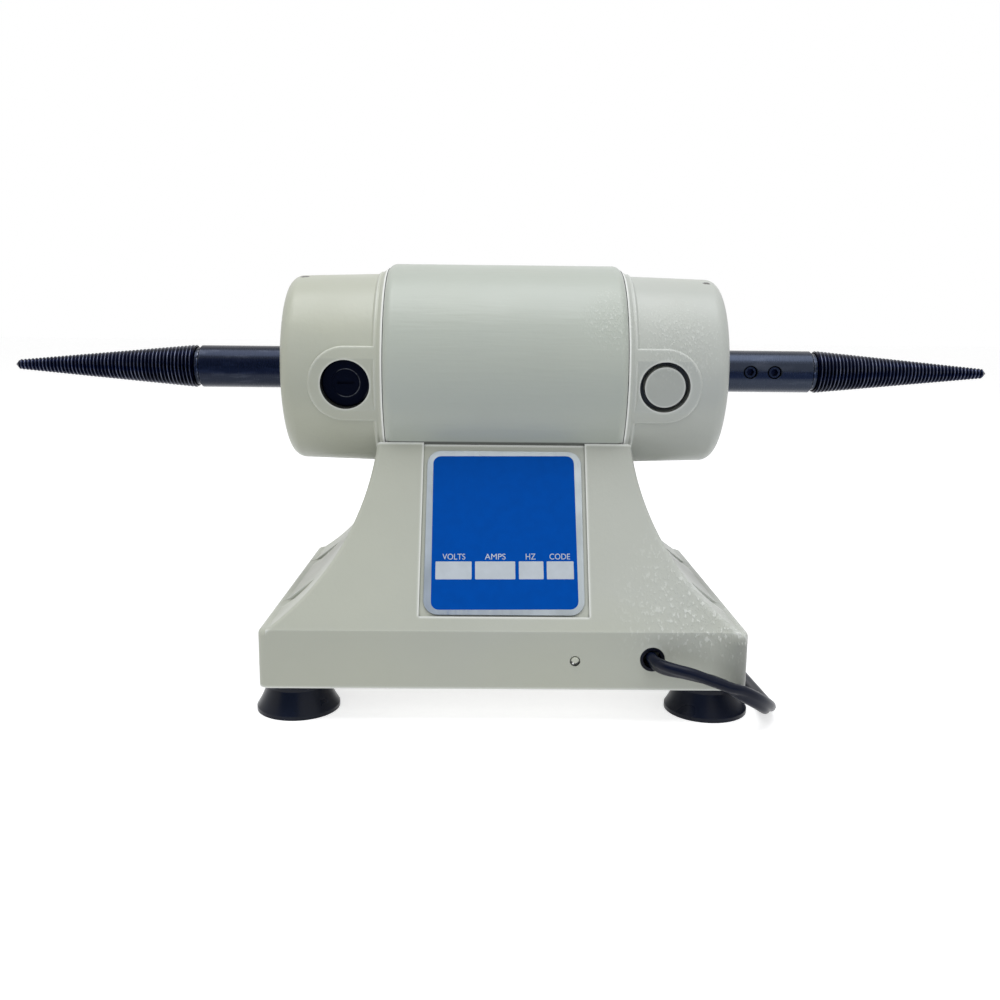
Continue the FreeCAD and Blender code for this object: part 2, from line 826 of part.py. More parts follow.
def tie_bolt(place):
    head_seat = bell_end - tie_head_height - tie_head_sink
    head = rod(tie_head_radius, place + Vector(head_seat, 0, 0), tie_head_height, spindle_axis)
    reach = bell_end - bell_end_wall - 1
    shank = rod(tie_bolt_radius, place - Vector(reach, 0, 0), reach + head_seat, spindle_axis)
    half = tie_slot_width / 2
    slot = box(bell_end - tie_head_sink - tie_slot_depth, bell_end, -half, half,
               place.z - tie_head_radius, place.z + tie_head_radius)
    return turned_round_spindle(joined([head, shank]).cut(slot), bell_tilt)


# Bearings

def bearing_outer_ring():
    ring = along_spindle(bearing_radius, bearing_inner_end, bearing_outer_end)
    bore = along_spindle(outer_land_radius, 0, bell_end)
    return ring.cut(Part.makeCompound([bore, ball_race(race_gap)]))


def bearing_inner_ring():
    ring = along_spindle(inner_land_radius, bearing_inner_end, bearing_outer_end)
    return ring.cut(Part.makeCompound([along_spindle(bearing_bore_radius, 0, bell_end), ball_race(0)]))


def ball_race(gap):
    """The ring of space that the balls run in, with eight flat sides round them."""
    middle = (bearing_inner_end + bearing_outer_end) / 2
    reach = (ball_radius + gap) / math.cos(math.pi / 8)
    angles = [math.pi / 8 + k * math.pi / 4 for k in range(8)]
    return turned([(middle + reach * math.cos(a), ball_circle + reach * math.sin(a)) for a in angles])


def ball(centre):
    """A ball of flat faces: three rings of corners and a pole at each end."""
    rings = []
    for latitude in (-ball_ring_angle, 0, ball_ring_angle):
        height = ball_radius * math.sin(latitude)
        reach = ball_radius * math.cos(latitude)
        angles = [2 * math.pi * k / ball_sides for k in range(ball_sides)]
        rings.append([centre + Vector(height, reach * math.cos(a), reach * math.sin(a)) for a in angles])
    pole = Vector(ball_radius, 0, 0)
    faces = []
    for k in range(ball_sides):
        n = (k + 1) % ball_sides
        faces.append([centre - pole, rings[0][n], rings[0][k]])
        faces.append([centre + pole, rings[2][k], rings[2][n]])
        faces += [[low[k], low[n], high[n], high[k]] for low, high in zip(rings, rings[1:])]
    shells = [Part.Face(Part.makePolygon(corners + corners[:1])) for corners in faces]
    return Part.makeSolid(Part.makeShell(shells))


def bearing_balls():
    middle = (bearing_inner_end + bearing_outer_end) / 2
    angles = [2 * math.pi * k / ball_count for k in range(ball_count)]
    return [ball(Vector(middle, ball_circle * math.cos(a), axis_height + ball_circle * math.sin(a)))
            for a in angles]


def wave_washer():
    inner = bearing_radius - washer_width
    washer = along_spindle(bearing_radius - fit_gap, bearing_outer_end, bearing_outer_end + washer_thickness)
    return washer.cut(along_spindle(inner, 0, bell_end))


# Rotor

def shaft():
    shoulder = bearing_inner_end
    points = [(-shaft_reach, 0), (-shaft_reach, shaft_end_radius), (-spindle_start, shaft_end_radius),
              (-spindle_start, bearing_bore_radius), (-shoulder, bearing_bore_radius),
              (-shoulder, shaft_middle_radius), (shoulder, shaft_middle_radius),
              (shoulder, bearing_bore_radius), (spindle_start, bearing_bore_radius),
              (spindle_start, shaft_end_radius), (shaft_reach, shaft_end_radius), (shaft_reach, 0)]
    return turned(points)


def armature_ends():
    return armature_middle - armature_length / 2, armature_middle + armature_length / 2


def slot_bar(width, low, high, x_low, x_high):
    return box(x_low, x_high, -width / 2, width / 2, axis_height + low, axis_height + high)


def armature_core():
    low, high = armature_ends()
    bore = along_spindle(shaft_middle_radius, low - 1, high + 1)
    core = along_spindle(armature_radius, low, high).cut(bore)
    slot_top = armature_radius - tooth_tip
    slot = slot_bar(slot_width, armature_radius - slot_depth, slot_top, low - 1, high + 1)
    mouth = slot_bar(slot_mouth, slot_top - 1, armature_radius + 1, low - 1, high + 1)
    angles = [360 * k / slot_count for k in range(slot_count)]
    cuts = [turned_round_spindle(shape, angle) for angle in angles for shape in (slot, mouth)]
    return core.cut(Part.makeCompound(cuts))


def armature_windings():
    low, high = armature_ends()
    inner = armature_radius - slot_depth + coil_margin
    outer = armature_radius - tooth_tip - coil_margin
    bar = slot_bar(slot_width - 2 * coil_margin, inner, outer, low - 1, high + 1)
    bars = [turned_round_spindle(bar, 360 * k / slot_count) for k in range(slot_count)]
    return joined([end_turns(low, -1), end_turns(high, 1)] + bars)


def end_turns(face, way):
    """The coil heads outside one end of the core, as a ring with a round nose."""
    inner = shaft_middle_radius + coil_lift
    outer = armature_radius - tooth_tip
    near = face + way * coil_gap
    far = face + way * coil_overhang
    shoulder = far - way * coil_nose
    points = [(near, inner), (near, outer), (shoulder, outer), (far, outer - coil_nose),
              (far, inner + coil_nose), (shoulder, inner)]
    return turned(points)


def commutator():
    low = -(pad_centre + commutator_length / 2)
    high = low + commutator_length
    end = high + riser_length
    body = along_spindle(commutator_radius, low, high).fuse(along_spindle(riser_radius, high, end))
    gap = slot_bar(bar_gap_width, commutator_radius - bar_gap_depth, riser_radius + 1, low - 1, end + 1)
    gaps = [turned_round_spindle(gap, 360 * k / bar_count) for k in range(bar_count)]
    bore = along_spindle(shaft_middle_radius, low - 1, end + 1)
    return body.removeSplitter().cut(Part.makeCompound(gaps + [bore]))


def spindle():
    """The right-hand tapered spindle; its screw thread is a surface detail."""
    relief_end = barrel_end + relief_width
    tip = spindle_tip - point_length
    chamfer = spindle_chamfer
    points = [(spindle_start, 0), (spindle_start, barrel_radius - chamfer),
              (spindle_start + chamfer, barrel_radius), (barrel_end - chamfer, barrel_radius),
              (barrel_end, barrel_radius - chamfer), (barrel_end, relief_radius), (relief_end, relief_radius),
              (relief_end, taper_start_radius - chamfer), (relief_end + chamfer, taper_start_radius),
              (tip, taper_tip_radius), (spindle_tip, 0)]
    body = turned(points)
    cuts = [along_spindle(shaft_end_radius + shaft_fit, 0, shaft_reach + 1)]
    cuts += [screw_hole(x) for x in screw_places]
    return body.cut(Part.makeCompound(cuts))


def screw_hole(x):
    """A threaded hole for a set screw, with a countersunk mouth."""
    radius = set_screw_radius + screw_fit
    mouth = barrel_radius - screw_mouth_depth
    hole = rod(radius, Vector(x, 0, axis_height), barrel_radius + 1, Vector(0, -1, 0))
    sink = Part.makeCone(radius, radius + 1, 1, Vector(x, -mouth, axis_height), Vector(0, -1, 0))
    return joined([hole, sink])


def set_screw(x):
    start = shaft_end_radius + shaft_fit
    end = barrel_radius - set_screw_sink
    body = rod(set_screw_radius, Vector(x, -start, axis_height), end - start, Vector(0, -1, 0))
    rim = [edge for edge in body.Edges if edge.BoundBox.YMax < 0.01 - end]
    body = body.makeChamfer(set_screw_chamfer, rim)
    outside = Vector(x, -end - 1, axis_height)
    return body.cut(hexagon_prism(2 * socket_radius, outside, socket_depth + 1, Vector(0, 1, 0)))


# Brush gear, made for the right-hand side and mirrored to the left

def brush_side(shape, angle):
    return turned_round_spindle(mirrored(shape), angle + bell_tilt)


def brush_channel(width, start, end):
    half = width / 2
    return box(pad_centre - half, pad_centre + half, -end, -start, axis_height - half, axis_height + half)


def brush_sleeve():
    spring_end = sleeve_end - cap_thickness
    sleeve = port_rod(brush_bore_radius - cap_fit, sleeve_wall_start, sleeve_end)
    rim = [edge for edge in sleeve.Edges if edge.BoundBox.YMax < 0.01 - sleeve_end]
    sleeve = sleeve.makeChamfer(sleeve_chamfer, rim)
    channel = brush_channel(brush_width + 2 * brush_fit, sleeve_wall_start - 1, spring_end)
    thread = port_rod(cap_radius + cap_fit, spring_end - 1, sleeve_end + 1)
    return sleeve.cut(Part.makeCompound([channel, thread]))


def brush_cap():
    cap = port_rod(cap_radius, sleeve_end - cap_thickness, sleeve_end)
    half = cap_slot_width / 2
    slot = box(pad_centre - cap_slot_reach, pad_centre + cap_slot_reach, -sleeve_end - 1,
               -sleeve_end + cap_slot_depth, axis_height - half, axis_height + half)
    return cap.cut(slot)


def brush_block():
    return brush_channel(brush_width, brush_start, brush_start + brush_length).cut(
        along_spindle(commutator_radius + brush_gap, 0, bell_end))


def brush_spring():
    """A coil spring between the brush and the cap, of square wire."""
    start = brush_start + brush_length + spring_wire_radius
    end = sleeve_end - cap_thickness - spring_wire_radius
    path = Part.makeHelix((end - start) / spring_turns, end - start, spring_radius)
    half = spring_wire_radius
    section = [(-half, -half), (half, -half), (half, half), (-half, half)]
    wire = outline(section, lambda x, z: Vector(spring_radius + x, 0, z))
    coil = Part.Wire(path.Edges).makePipeShell([wire], True, True)
    return moved_to(coil, Placement(Vector(pad_centre, -start, axis_height), Rotation(Vector(1, 0, 0), 90)))


# Back of the skirt

def cord_bushing():
    inside = -half_depth + base_wall
    start = Vector(cord_hole_x, -half_depth, cord_hole_height)
    flange_start = Vector(cord_hole_x, inside, cord_hole_height)
    body = rod(cord_hole_radius - bushing_fit, start, base_wall, Vector(0, 1, 0))
    flange = rod(bushing_flange_radius, flange_start, bushing_flange_thickness, Vector(0, 1, 0))
    return joined([body, flange]).cut(back_hole(cord_hole_x, cord_hole_height, bushing_bore_radius))


def earth_screw():
    """A threaded pin with a small round head, held by a nut inside."""
    out = -half_depth - earth_head_proud
    seat = -half_depth + earth_seat_depth
    inward = Vector(0, 1, 0)
    head = rod(earth_head_radius, Vector(earth_screw_x, out, earth_screw_height), seat - out, inward)
    rim = [edge for edge in head.Edges if edge.BoundBox.YMax < out + 0.01]
    head = head.makeFillet(earth_head_rounding, rim)
    shank_start = Vector(earth_screw_x, seat, earth_screw_height)
    shank = rod(earth_shank_radius, shank_start, earth_shank_length, inward)
    return joined([head, shank])


def earth_nut():
    inside = Vector(earth_screw_x, -half_depth + base_wall, earth_screw_height)
    nut = hexagon_prism(earth_nut_width, inside, earth_nut_height, Vector(0, 1, 0))
    return nut.cut(back_hole(earth_screw_x, earth_screw_height, earth_shank_radius + screw_fit))


# Speed control, in the leaning face's own axes

def local_rod(radius, start, end):
    return rod(radius, Vector(0, 0, start), end - start, Vector(0, 0, 1))


def pot_body():
    """The speed control behind the panel, with its threaded collar through the wall."""
    behind = -base_wall
    case = local_rod(pot_radius, behind - pot_depth, behind)
    collar = local_rod(pot_collar_radius, behind - 1, pot_nut_height + pot_collar_proud)
    bore = local_rod(pot_shaft_radius + screw_fit, behind - pot_depth / 2, 20)
    return moved_to(joined([case, collar]).cut(bore), on_face(1, knob_x, knob_height_on_base))


def pot_nut():
    nut = hexagon_prism(pot_nut_width, Vector(0, 0, 0), pot_nut_height, Vector(0, 0, 1))
    nut = nut.cut(local_rod(pot_collar_radius + screw_fit, -1, 5))
    return moved_to(nut, on_face(1, knob_x, knob_height_on_base))


def pot_shaft():
    low = -base_wall - pot_depth / 2 + fit_gap
    high = knob_lift + knob_bore_depth
    return moved_to(local_rod(pot_shaft_radius, low, high), on_face(1, knob_x, knob_height_on_base))


def knob():
    top = knob_lift + knob_length
    grip_low = knob_lift + knob_skirt + knob_shoulder
    grip_top_radius = knob_top_radius - knob_draft
    points = [(0, knob_lift), (knob_radius, knob_lift), (knob_radius, knob_lift + knob_skirt),
              (knob_top_radius, grip_low), (grip_top_radius, top - knob_edge),
              (grip_top_radius - knob_edge, top), (0, top)]
    wire = outline(points, lambda r, z: Vector(r, 0, z))
    body = Part.Face(wire).revolve(Vector(0, 0, 0), Vector(0, 0, 1), 360)
    flutes = []
    for k in range(knob_flute_count):
        angle = 2 * math.pi * k / knob_flute_count
        place = Vector(knob_top_radius * math.cos(angle), knob_top_radius * math.sin(angle), grip_low)
        flutes.append(rod(knob_flute_radius, place, knob_length, Vector(0, 0, 1)))
    nut_room_radius = pot_nut_width / math.sqrt(3) + fit_gap
    nut_room = local_rod(nut_room_radius, knob_lift - 1, pot_nut_height + nut_room_height)
    bore = local_rod(pot_shaft_radius, 0, knob_lift + knob_bore_depth)
    body = body.cut(Part.makeCompound(flutes + [nut_room, bore]))
    return moved_to(body, on_face(1, knob_x, knob_height_on_base))


# Rocker switch, in the leaning face's own axes

def switch_case():
    bezel = rounded_slab(switch_bezel_width, switch_bezel_height, switch_bezel_corner, switch_bezel_thickness)
    width = switch_body_width - 2 * screw_fit
    height = switch_body_height - 2 * screw_fit
    body = Part.makeBox(width, height, switch_body_depth, Vector(-width / 2, -height / 2, -switch_body_depth))
    window_x = rocker_radius + rocker_window_gap
    window_y = height / 2 - switch_wall
    window = box(-window_x, window_x, -window_y, window_y, -rocker_pivot_depth - rocker_radius - 1, 5)
    holes = trunnion(trunnion_radius + trunnion_fit, height / 2 - 0.1)
    case = joined([bezel, body]).cut(Part.makeCompound([window, holes]))
    return moved_to(case, on_face(1, switch_x, switch_height_on_base))


def trunnion(radius, reach):
    """A pin along the rocker's pivot."""
    return Part.makeCylinder(radius, 2 * reach, Vector(0, -reach, -rocker_pivot_depth), Vector(0, 1, 0))


def rocker():
    """The three-position rocker at rest in the middle: a drum below, a shallow V above the bezel."""
    half = switch_body_height / 2 - screw_fit - switch_wall - rocker_side_gap
    drum = Part.makeCylinder(rocker_radius, 2 * half, Vector(0, -half, -rocker_pivot_depth), Vector(0, 1, 0))
    lower = drum.cut(box(-20, 20, -20, 20, -rocker_pivot_depth, 20))
    top = switch_bezel_thickness + rocker_end_rise
    middle = switch_bezel_thickness + rocker_dip_rise
    reach = rocker_radius - rocker_head_margin
    sections = [(-rocker_radius, -rocker_pivot_depth), (-reach, top), (0, middle), (reach, top),
                (rocker_radius, -rocker_pivot_depth)]
    head = prism(sections, lambda x, z: Vector(x, -half, z), Vector(0, 2 * half, 0))
    pins = trunnion(trunnion_radius, half + rocker_side_gap + trunnion_length)
    return moved_to(joined([lower, head, pins]), on_face(1, switch_x, switch_height_on_base))


def switch_terminals():
    high = -switch_body_depth
    low = high - terminal_length
    side = terminal_thickness / 2
    half = terminal_width / 2
    places = (-terminal_spacing, 0, terminal_spacing)
    blades = [box(x - side, x + side, -half, half, low, high) for x in places]
    return [moved_to(blade, on_face(1, switch_x, switch_height_on_base)) for blade in blades]


# Control board on the bottom cover

def board_corners():
    half_x = board_length / 2 - standoff_inset
    half_y = board_width / 2 - standoff_inset
    return [(board_x + x, y) for x, y in four_corners(half_x, half_y)]


def board_low():
    return skirt_bottom + cover_thickness + standoff_height


def standoff(x, y):
    low = skirt_bottom + cover_thickness
    return upright(standoff_radius, x, y, low, low + standoff_height).cut(
        upright(board_screw_radius + screw_fit, x, y, 0, axis_height))


def control_board():
    low = board_low()
    board = box(board_x - board_length / 2, board_x + board_length / 2, -board_width / 2, board_width / 2,
                low, low + board_thickness)
    holes = [upright(board_screw_radius + hole_margin, x, y, 0, axis_height) for x, y in board_corners()]
    return board.cut(Part.makeCompound(holes))


def board_screw(x, y):
    top = board_low() + board_thickness
    head = upright(board_head_radius, x, y, top, top + board_head_height)
    shank = upright(board_screw_radius, x, y, skirt_bottom + fit_gap, top)
    slot = upright_slot(board_head_radius, x, y, top + board_head_height, -small_slot_depth)
    return joined([head, shank]).cut(slot)


def on_board(plan, low, high):
    """A block on the board. Its plan is low and high x and y, counted from the board's middle."""
    x_low, x_high, y_low, y_high = plan
    top = board_low() + board_thickness
    return box(board_x + x_low, board_x + x_high, y_low, y_high, top + low, top + high)


def heat_sink():
    x_low, _, y_low, y_high = sink_plan
    starts = [x_low + fin_pitch * k for k in range(fin_count)]
    fins = [on_board((x, x + fin_thickness, y_low, y_high), sink_base_height, sink_height) for x in starts]
    return joined([on_board(sink_plan, 0, sink_base_height)] + fins)


def board_parts():
    """A heat sink with fins, two capacitors, a bridge block and a block for the leads."""
    top = board_low() + board_thickness
    capacitors = [upright(capacitor_radius, board_x + x, y, top, top + capacitor_height)
                  for x, y in capacitor_places]
    blocks = [on_board(bridge_plan, 0, bridge_height), on_board(lead_block_plan, 0, lead_block_height)]
    return [heat_sink()] + blocks + capacitors


# Cord

def rounded_route(points):
    """Straight runs joined by tangent arcs, each as large as its two runs allow."""
    corners = [Vector(*point) for point in points]
    edges = []
    here = corners[0]
    for before, corner, after in zip(corners, corners[1:], corners[2:]):
        back = (before - corner).normalize()
        forth = (after - corner).normalize()
        turn = math.pi - back.getAngle(forth)
        shorter = min((corner - before).Length, (after - corner).Length)
        reach = bend_share * shorter
        radius = reach / math.tan(turn / 2)
        print(f"cord radius {radius:.1f} at {corner.x:.0f}, {corner.y:.0f}, {corner.z:.0f}")
        start = corner + back * reach
        end = corner + forth * reach
        inward = (back + forth).normalize()
        middle = corner + inward * (radius / math.cos(turn / 2) - radius)
        edges.append(Part.LineSegment(here, start).toShape())
        edges.append(Part.Arc(start, middle, end).toShape())
        here = end
    edges.append(Part.LineSegment(here, corners[-1]).toShape())
    return Part.Wire(edges)


def cord_tube(points):
    route = rounded_route(points)
    direction = (Vector(*points[1]) - Vector(*points[0])).normalize()
    ring = Part.Wire(Part.makeCircle(cord_tube_radius, Vector(*points[0]), direction))
    tube = route.makePipeShell([ring], True, False)
    expected = math.pi * cord_tube_radius ** 2 * route.Length
    print(f"cord length {route.Length:.0f}, volume over section times length {tube.Volume / expected:.4f}")
    return tube


def cord_coil():
    across = coil_turns_across * cord_width / 2
    height = coil_layers * cord_thickness
    inner = coil_middle_radius - across
    outer = coil_middle_radius + across
    corner = cord_thickness * coil_corner_share
    points = [(inner, corner), (inner + corner, 0), (outer - corner, 0), (outer, corner),
              (outer, height - corner), (outer - corner, height),
              (inner + corner, height), (inner, height - corner)]
    return turned_upright(points, coil_x, coil_y)


def plug_start():
    x, y, z = tail_points[-1]
    return Vector(x, y, plug_thickness / 2)


def plug_body():
    """A flat six-sided plug that lies on the bench, its pins along -X."""
    half = plug_width / 2
    neck = plug_neck_width / 2
    low = -half + plug_corner
    points = [(0, -neck), (-plug_neck_length, -neck), (-plug_shoulder_end, -half), (-plug_length, low),
              (-plug_length, -low), (-plug_shoulder_end, half), (-plug_neck_length, neck), (0, neck)]
    place = plug_start()
    body = prism(points, lambda x, y: Vector(place.x + x, place.y + y, 0), Vector(0, 0, plug_thickness))
    long_edges = [e for e in body.Edges if e.BoundBox.ZLength < 0.01]
    return body.makeFillet(plug_edge_radius, long_edges)


def plug_pins():
    place = plug_start()
    pins = []
    for side in (-1, 1):
        start = Vector(place.x - plug_length, place.y + side * plug_pin_spacing / 2, place.z)
        pin = rod(plug_pin_radius, start, plug_pin_length, Vector(-1, 0, 0))
        tip = [e for e in pin.Edges if e.BoundBox.XMax < start.x - plug_pin_length + 0.01]
        pins.append(pin.makeFillet(plug_pin_tip_radius, tip))
    return pins


# All the pieces

def save_base():
    save("base_casting", base_casting())
    save("bottom_cover", bottom_cover())
    save("cover_screws", *[cover_screw(x, y) for x, y in four_corners(cover_screw_x, cover_screw_y)])
    names = ("foot_back_left", "foot_front_left", "foot_back_right", "foot_front_right")
    for name, (x, y) in zip(names, four_corners(foot_x, foot_y)):
        save(name, foot(x, y))
    save("foot_screws", *[foot_screw(x, y) for x, y in four_corners(foot_x, foot_y)])
    save("nameplate", nameplate())
    save("cord_bushing", cord_bushing())
    save("earth_screw", earth_screw())
    save("earth_nut", earth_nut())


def save_motor():
    save("motor_shell", motor_shell())
    save("motor_screws", motor_screw(-motor_screw_x), motor_screw(motor_screw_x))
    save("magnet_back", magnet(-1))
    save("magnet_front", magnet(1))
    save("left_bell", left_bell())
    save("right_bell", right_bell())
    save("tie_bolts", *[tie_bolt(place) for place in tie_places()])
    save("left_bearing_outer_ring", mirrored(bearing_outer_ring()))
    save("right_bearing_outer_ring", bearing_outer_ring())
    save("preload_washers", wave_washer(), mirrored(wave_washer()))
    for name, angle in (("back", 0), ("front", 180)):
        save(f"brush_sleeve_{name}", brush_side(brush_sleeve(), angle))
        save(f"brush_cap_{name}", brush_side(brush_cap(), angle))
        save(f"brush_{name}", brush_side(brush_block(), angle))
        save(f"brush_spring_{name}", brush_side(brush_spring(), angle))


def save_rotor():
    save("shaft", shaft())
    save("armature_core", armature_core())
    save("armature_windings", armature_windings())
    save("commutator", commutator())
    save("left_bearing_inner_ring", mirrored(bearing_inner_ring()))
    save("right_bearing_inner_ring", bearing_inner_ring())
    balls = bearing_balls()
    save("left_bearing_balls", *[mirrored(ball) for ball in balls])
    save("right_bearing_balls", *balls)
    save("right_spindle", spindle())
    save("left_spindle", turned_round_spindle(mirrored(spindle()), 180))
    save("right_set_screws", *[set_screw(x) for x in screw_places])
    save("left_set_screws", *[turned_round_spindle(mirrored(set_screw(x)), 180) for x in screw_places])


def save_controls():
    save("speed_control", pot_body())
    save("speed_control_nut", pot_nut())
    save("speed_control_shaft", pot_shaft())
    save("speed_knob", knob())
    save("switch_case", switch_case())
    save("switch_rocker", rocker())
    save("switch_terminals", *switch_terminals())
    save("board_standoffs", *[standoff(x, y) for x, y in board_corners()])
    save("control_board", control_board())
    save("board_screws", *[board_screw(x, y) for x, y in board_corners()])
    save("board_parts", *board_parts())


def save_cord():
    save("cord_run", cord_tube(cord_points))
    save("cord_coil", cord_coil())
    save("cord_tail", cord_tube(tail_points))
    save("plug_body", plug_body())
    save("plug_pins", *plug_pins())


os.makedirs("parts", exist_ok=True)
save_base()
save_motor()
save_rotor()
save_controls()
save_cord()
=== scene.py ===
# Looks of a dental polishing lathe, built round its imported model. Metres, in the model's own frame:
# X along the spindles, Y from the back (plate and cord) to the front (knob and switch), Z up.
import bmesh
import bpy
import json
import math
from mathutils import Matrix, Vector


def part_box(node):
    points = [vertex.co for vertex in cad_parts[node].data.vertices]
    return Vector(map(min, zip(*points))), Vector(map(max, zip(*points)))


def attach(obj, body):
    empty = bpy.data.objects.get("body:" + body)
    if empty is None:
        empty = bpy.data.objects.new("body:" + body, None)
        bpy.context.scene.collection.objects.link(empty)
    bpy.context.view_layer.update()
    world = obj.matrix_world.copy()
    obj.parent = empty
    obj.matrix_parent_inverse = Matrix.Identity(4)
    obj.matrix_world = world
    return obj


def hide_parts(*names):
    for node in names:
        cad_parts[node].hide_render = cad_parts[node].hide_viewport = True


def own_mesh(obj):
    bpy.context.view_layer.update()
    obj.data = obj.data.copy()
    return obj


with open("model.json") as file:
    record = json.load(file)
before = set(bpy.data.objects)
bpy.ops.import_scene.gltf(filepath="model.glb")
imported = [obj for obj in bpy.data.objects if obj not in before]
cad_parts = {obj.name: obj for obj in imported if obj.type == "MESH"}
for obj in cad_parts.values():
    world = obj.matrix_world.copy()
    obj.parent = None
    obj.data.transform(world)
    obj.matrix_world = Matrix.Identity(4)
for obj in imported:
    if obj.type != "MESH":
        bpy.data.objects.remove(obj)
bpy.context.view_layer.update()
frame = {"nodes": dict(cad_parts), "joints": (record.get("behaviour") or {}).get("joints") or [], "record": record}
nodes = frame["nodes"]

MM = 0.001

# Camera, as fitted to the photograph
camera_place = (-0.00622, -0.39220, 0.13601)
camera_yaw = 0.0134
camera_pitch = 0.1763
camera_roll = 0.0106
camera_lens = 36.335
camera_sensor = 36.0
camera_clip = 20 * MM

# Cord
cord_width = 5.8 * MM
cord_thickness = 3.7 * MM
cord_lobe_spacing = (cord_width - cord_thickness) / 2
cord_lobe_sides = 8
cord_exit = (0.0505, -0.0652, 0.0231)
bench_cord = cord_thickness / 2
cord_run_points = [
    (50.5, -65.2, 23.1), (50.8, -69.6, 23.1), (54.4, -73.8, 22.8), (62.0, -75.6, 21.8),
    (73.6, -76.0, 18.0), (84.2, -73.4, 12.2), (90.9, -65.8, 6.4), (93.6, -53.5, 1.9),
    (93.2, -38.0, 1.85), (92.0, -20.0, 1.85), (91.6, 4.0, 1.85), (92.6, 32.0, 1.85),
    (92.4, 60.0, 1.85), (91.2, 88.0, 1.85),
]
cord_tail_points = [(26.0, 150.2, 3.4), (14.5, 146.4, 2.8), (2.5, 143.2, 5.2), (-10.0, 142.0, 6.85)]
# The angle of the cord's wide side from level, in degrees, at places along it in metres
cord_twist = [(0.0, 66.0), (0.006, 58.0), (0.016, 36.0), (0.025, 8.0), (0.029, 8.0), (0.037, 62.0),
              (0.048, 64.0), (0.062, 18.0), (0.085, 0.0)]

# The coil: in along the bench, up a layer, and out again
coil_centre = Vector((0.050, 0.116))
coil_outer_radius = 40.7 * MM
coil_points_per_turn = 14
coil_layer_turns = 3.0
coil_climb_from = 3.3
coil_climb_turns = 0.6
coil_out_from = 4.0
coil_last_turn = 7.31

# The plug's strain relief
relief_length = 24 * MM
relief_steps = 96
relief_sides = 24
relief_rib_pitch = 3.0 * MM
relief_groove = 0.9 * MM
relief_groove_depth = 0.7 * MM
relief_groove_fade = 0.6
relief_ribbed = (0.03, 0.93)
relief_plug_half = (4.9 * MM, 4.5 * MM)
relief_cord_half = (3.3 * MM, 2.25 * MM)

# Motor
axis_height = frame["joints"][0]["pos_m"][2]
port_place = 56.6 * MM
port_tilt = math.radians(7.2)
port_face = 34.95 * MM
port_radius = 9.0 * MM
ring_inner = 7.2 * MM
saddle_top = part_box("base_casting")[1][2]

# The earth pin's head, 1 mm in from its face
pin_low, pin_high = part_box("earth_screw")
earth_pin = Vector(((pin_low.x + pin_high.x) / 2, pin_low.y + 1 * MM, (pin_low.z + pin_high.z) / 2))

# Spindle threads
thread_pitch = 1.43 * MM
thread_depth = 0.62 * MM
thread_crest_flat = 0.2
thread_full_depth_radius = 3 * MM
thread_chamfer = 0.7 * MM
thread_chamfer_slope = 1.2
thread_closing_slope = 1000.0
thread_rings_per_turn = 10
thread_sides = 41
modelled_thread_start = 119.4 * MM
left_thread_start = 117.2 * MM
barrel_end_from = 106.0 * MM
thread_start_radius = 8.15 * MM
thread_tip_radius = 1.75 * MM
spindle_tip = 187.0 * MM
spindle_point = 1.6 * MM
spindle_weld = 0.002 * MM


# Small tools

def new_object(name, data):
    piece = bpy.data.objects.new(name, data)
    bpy.context.scene.collection.objects.link(piece)
    return piece


def mesh_from(name, points, faces):
    mesh = bpy.data.meshes.new(name)
    mesh.from_pydata([tuple(point) for point in points], [], faces)
    mesh.validate()
    return mesh


def turned_to_mesh(source):
    """The mesh that an object gives with its modifiers on. The object itself is removed."""
    bpy.context.view_layer.update()
    mesh = bpy.data.meshes.new_from_object(source.evaluated_get(bpy.context.evaluated_depsgraph_get()))
    bpy.data.objects.remove(source)
    return mesh


def smooth(mesh, angle):
    """Shades a mesh smooth, but for edges sharper than the angle in degrees."""
    mesh.shade_smooth()
    mesh.set_sharp_from_angle(angle=math.radians(angle))


def weld(work, distance):
    """Merges the doubles of a mesh at work."""
    bmesh.ops.remove_doubles(work, verts=work.verts, dist=distance)


def face_outwards(work):
    bmesh.ops.recalc_face_normals(work, faces=work.faces)


def placed(name, body, material, mesh, replaces=()):
    """A finished piece: its material, the body it rides on and the nodes it replaces."""
    piece = new_object(name, mesh)
    mesh.materials.clear()
    mesh.materials.append(materials[material])
    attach(piece, body)
    if replaces:
        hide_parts(*replaces)
    return piece


def local_axes(origin, right, up):
    """A matrix that takes local X to right, Y to up and Z to what faces out."""
    right = Vector(right).normalized()
    up = Vector(up).normalized()
    return Matrix.Translation(origin) @ Matrix((right, up, right.cross(up))).transposed().to_4x4()


def rounded_outline(width, height, radius, steps=8):
    """The corners of a round-cornered rectangle, centred on the origin."""
    points = []
    for quarter, (sx, sy) in enumerate(((1, 1), (-1, 1), (-1, -1), (1, -1))):
        centre = Vector((sx * (width / 2 - radius), sy * (height / 2 - radius)))
        for step in range(steps + 1):
            angle = math.pi / 2 * (quarter + step / steps)
            points.append(centre + Vector((math.cos(angle), math.sin(angle))) * radius)
    return points


def slabs(name, outlines, low, high, matrix):
    """Flat slabs as one mesh, each from its own outline, between two local heights."""
    points = []
    faces = []
    for outline in outlines:
        count = len(outline)
        under = range(len(points), len(points) + count)
        over = range(under.stop, under.stop + count)
        points += [(*point, height) for height in (low, high) for point in outline]
        faces += [tuple(reversed(under)), tuple(over)]
        faces += [(under[k - 1], under[k], over[k], over[k - 1]) for k in range(count)]
    mesh = mesh_from(name, points, faces)
    mesh.transform(matrix)
    return mesh


# Materials

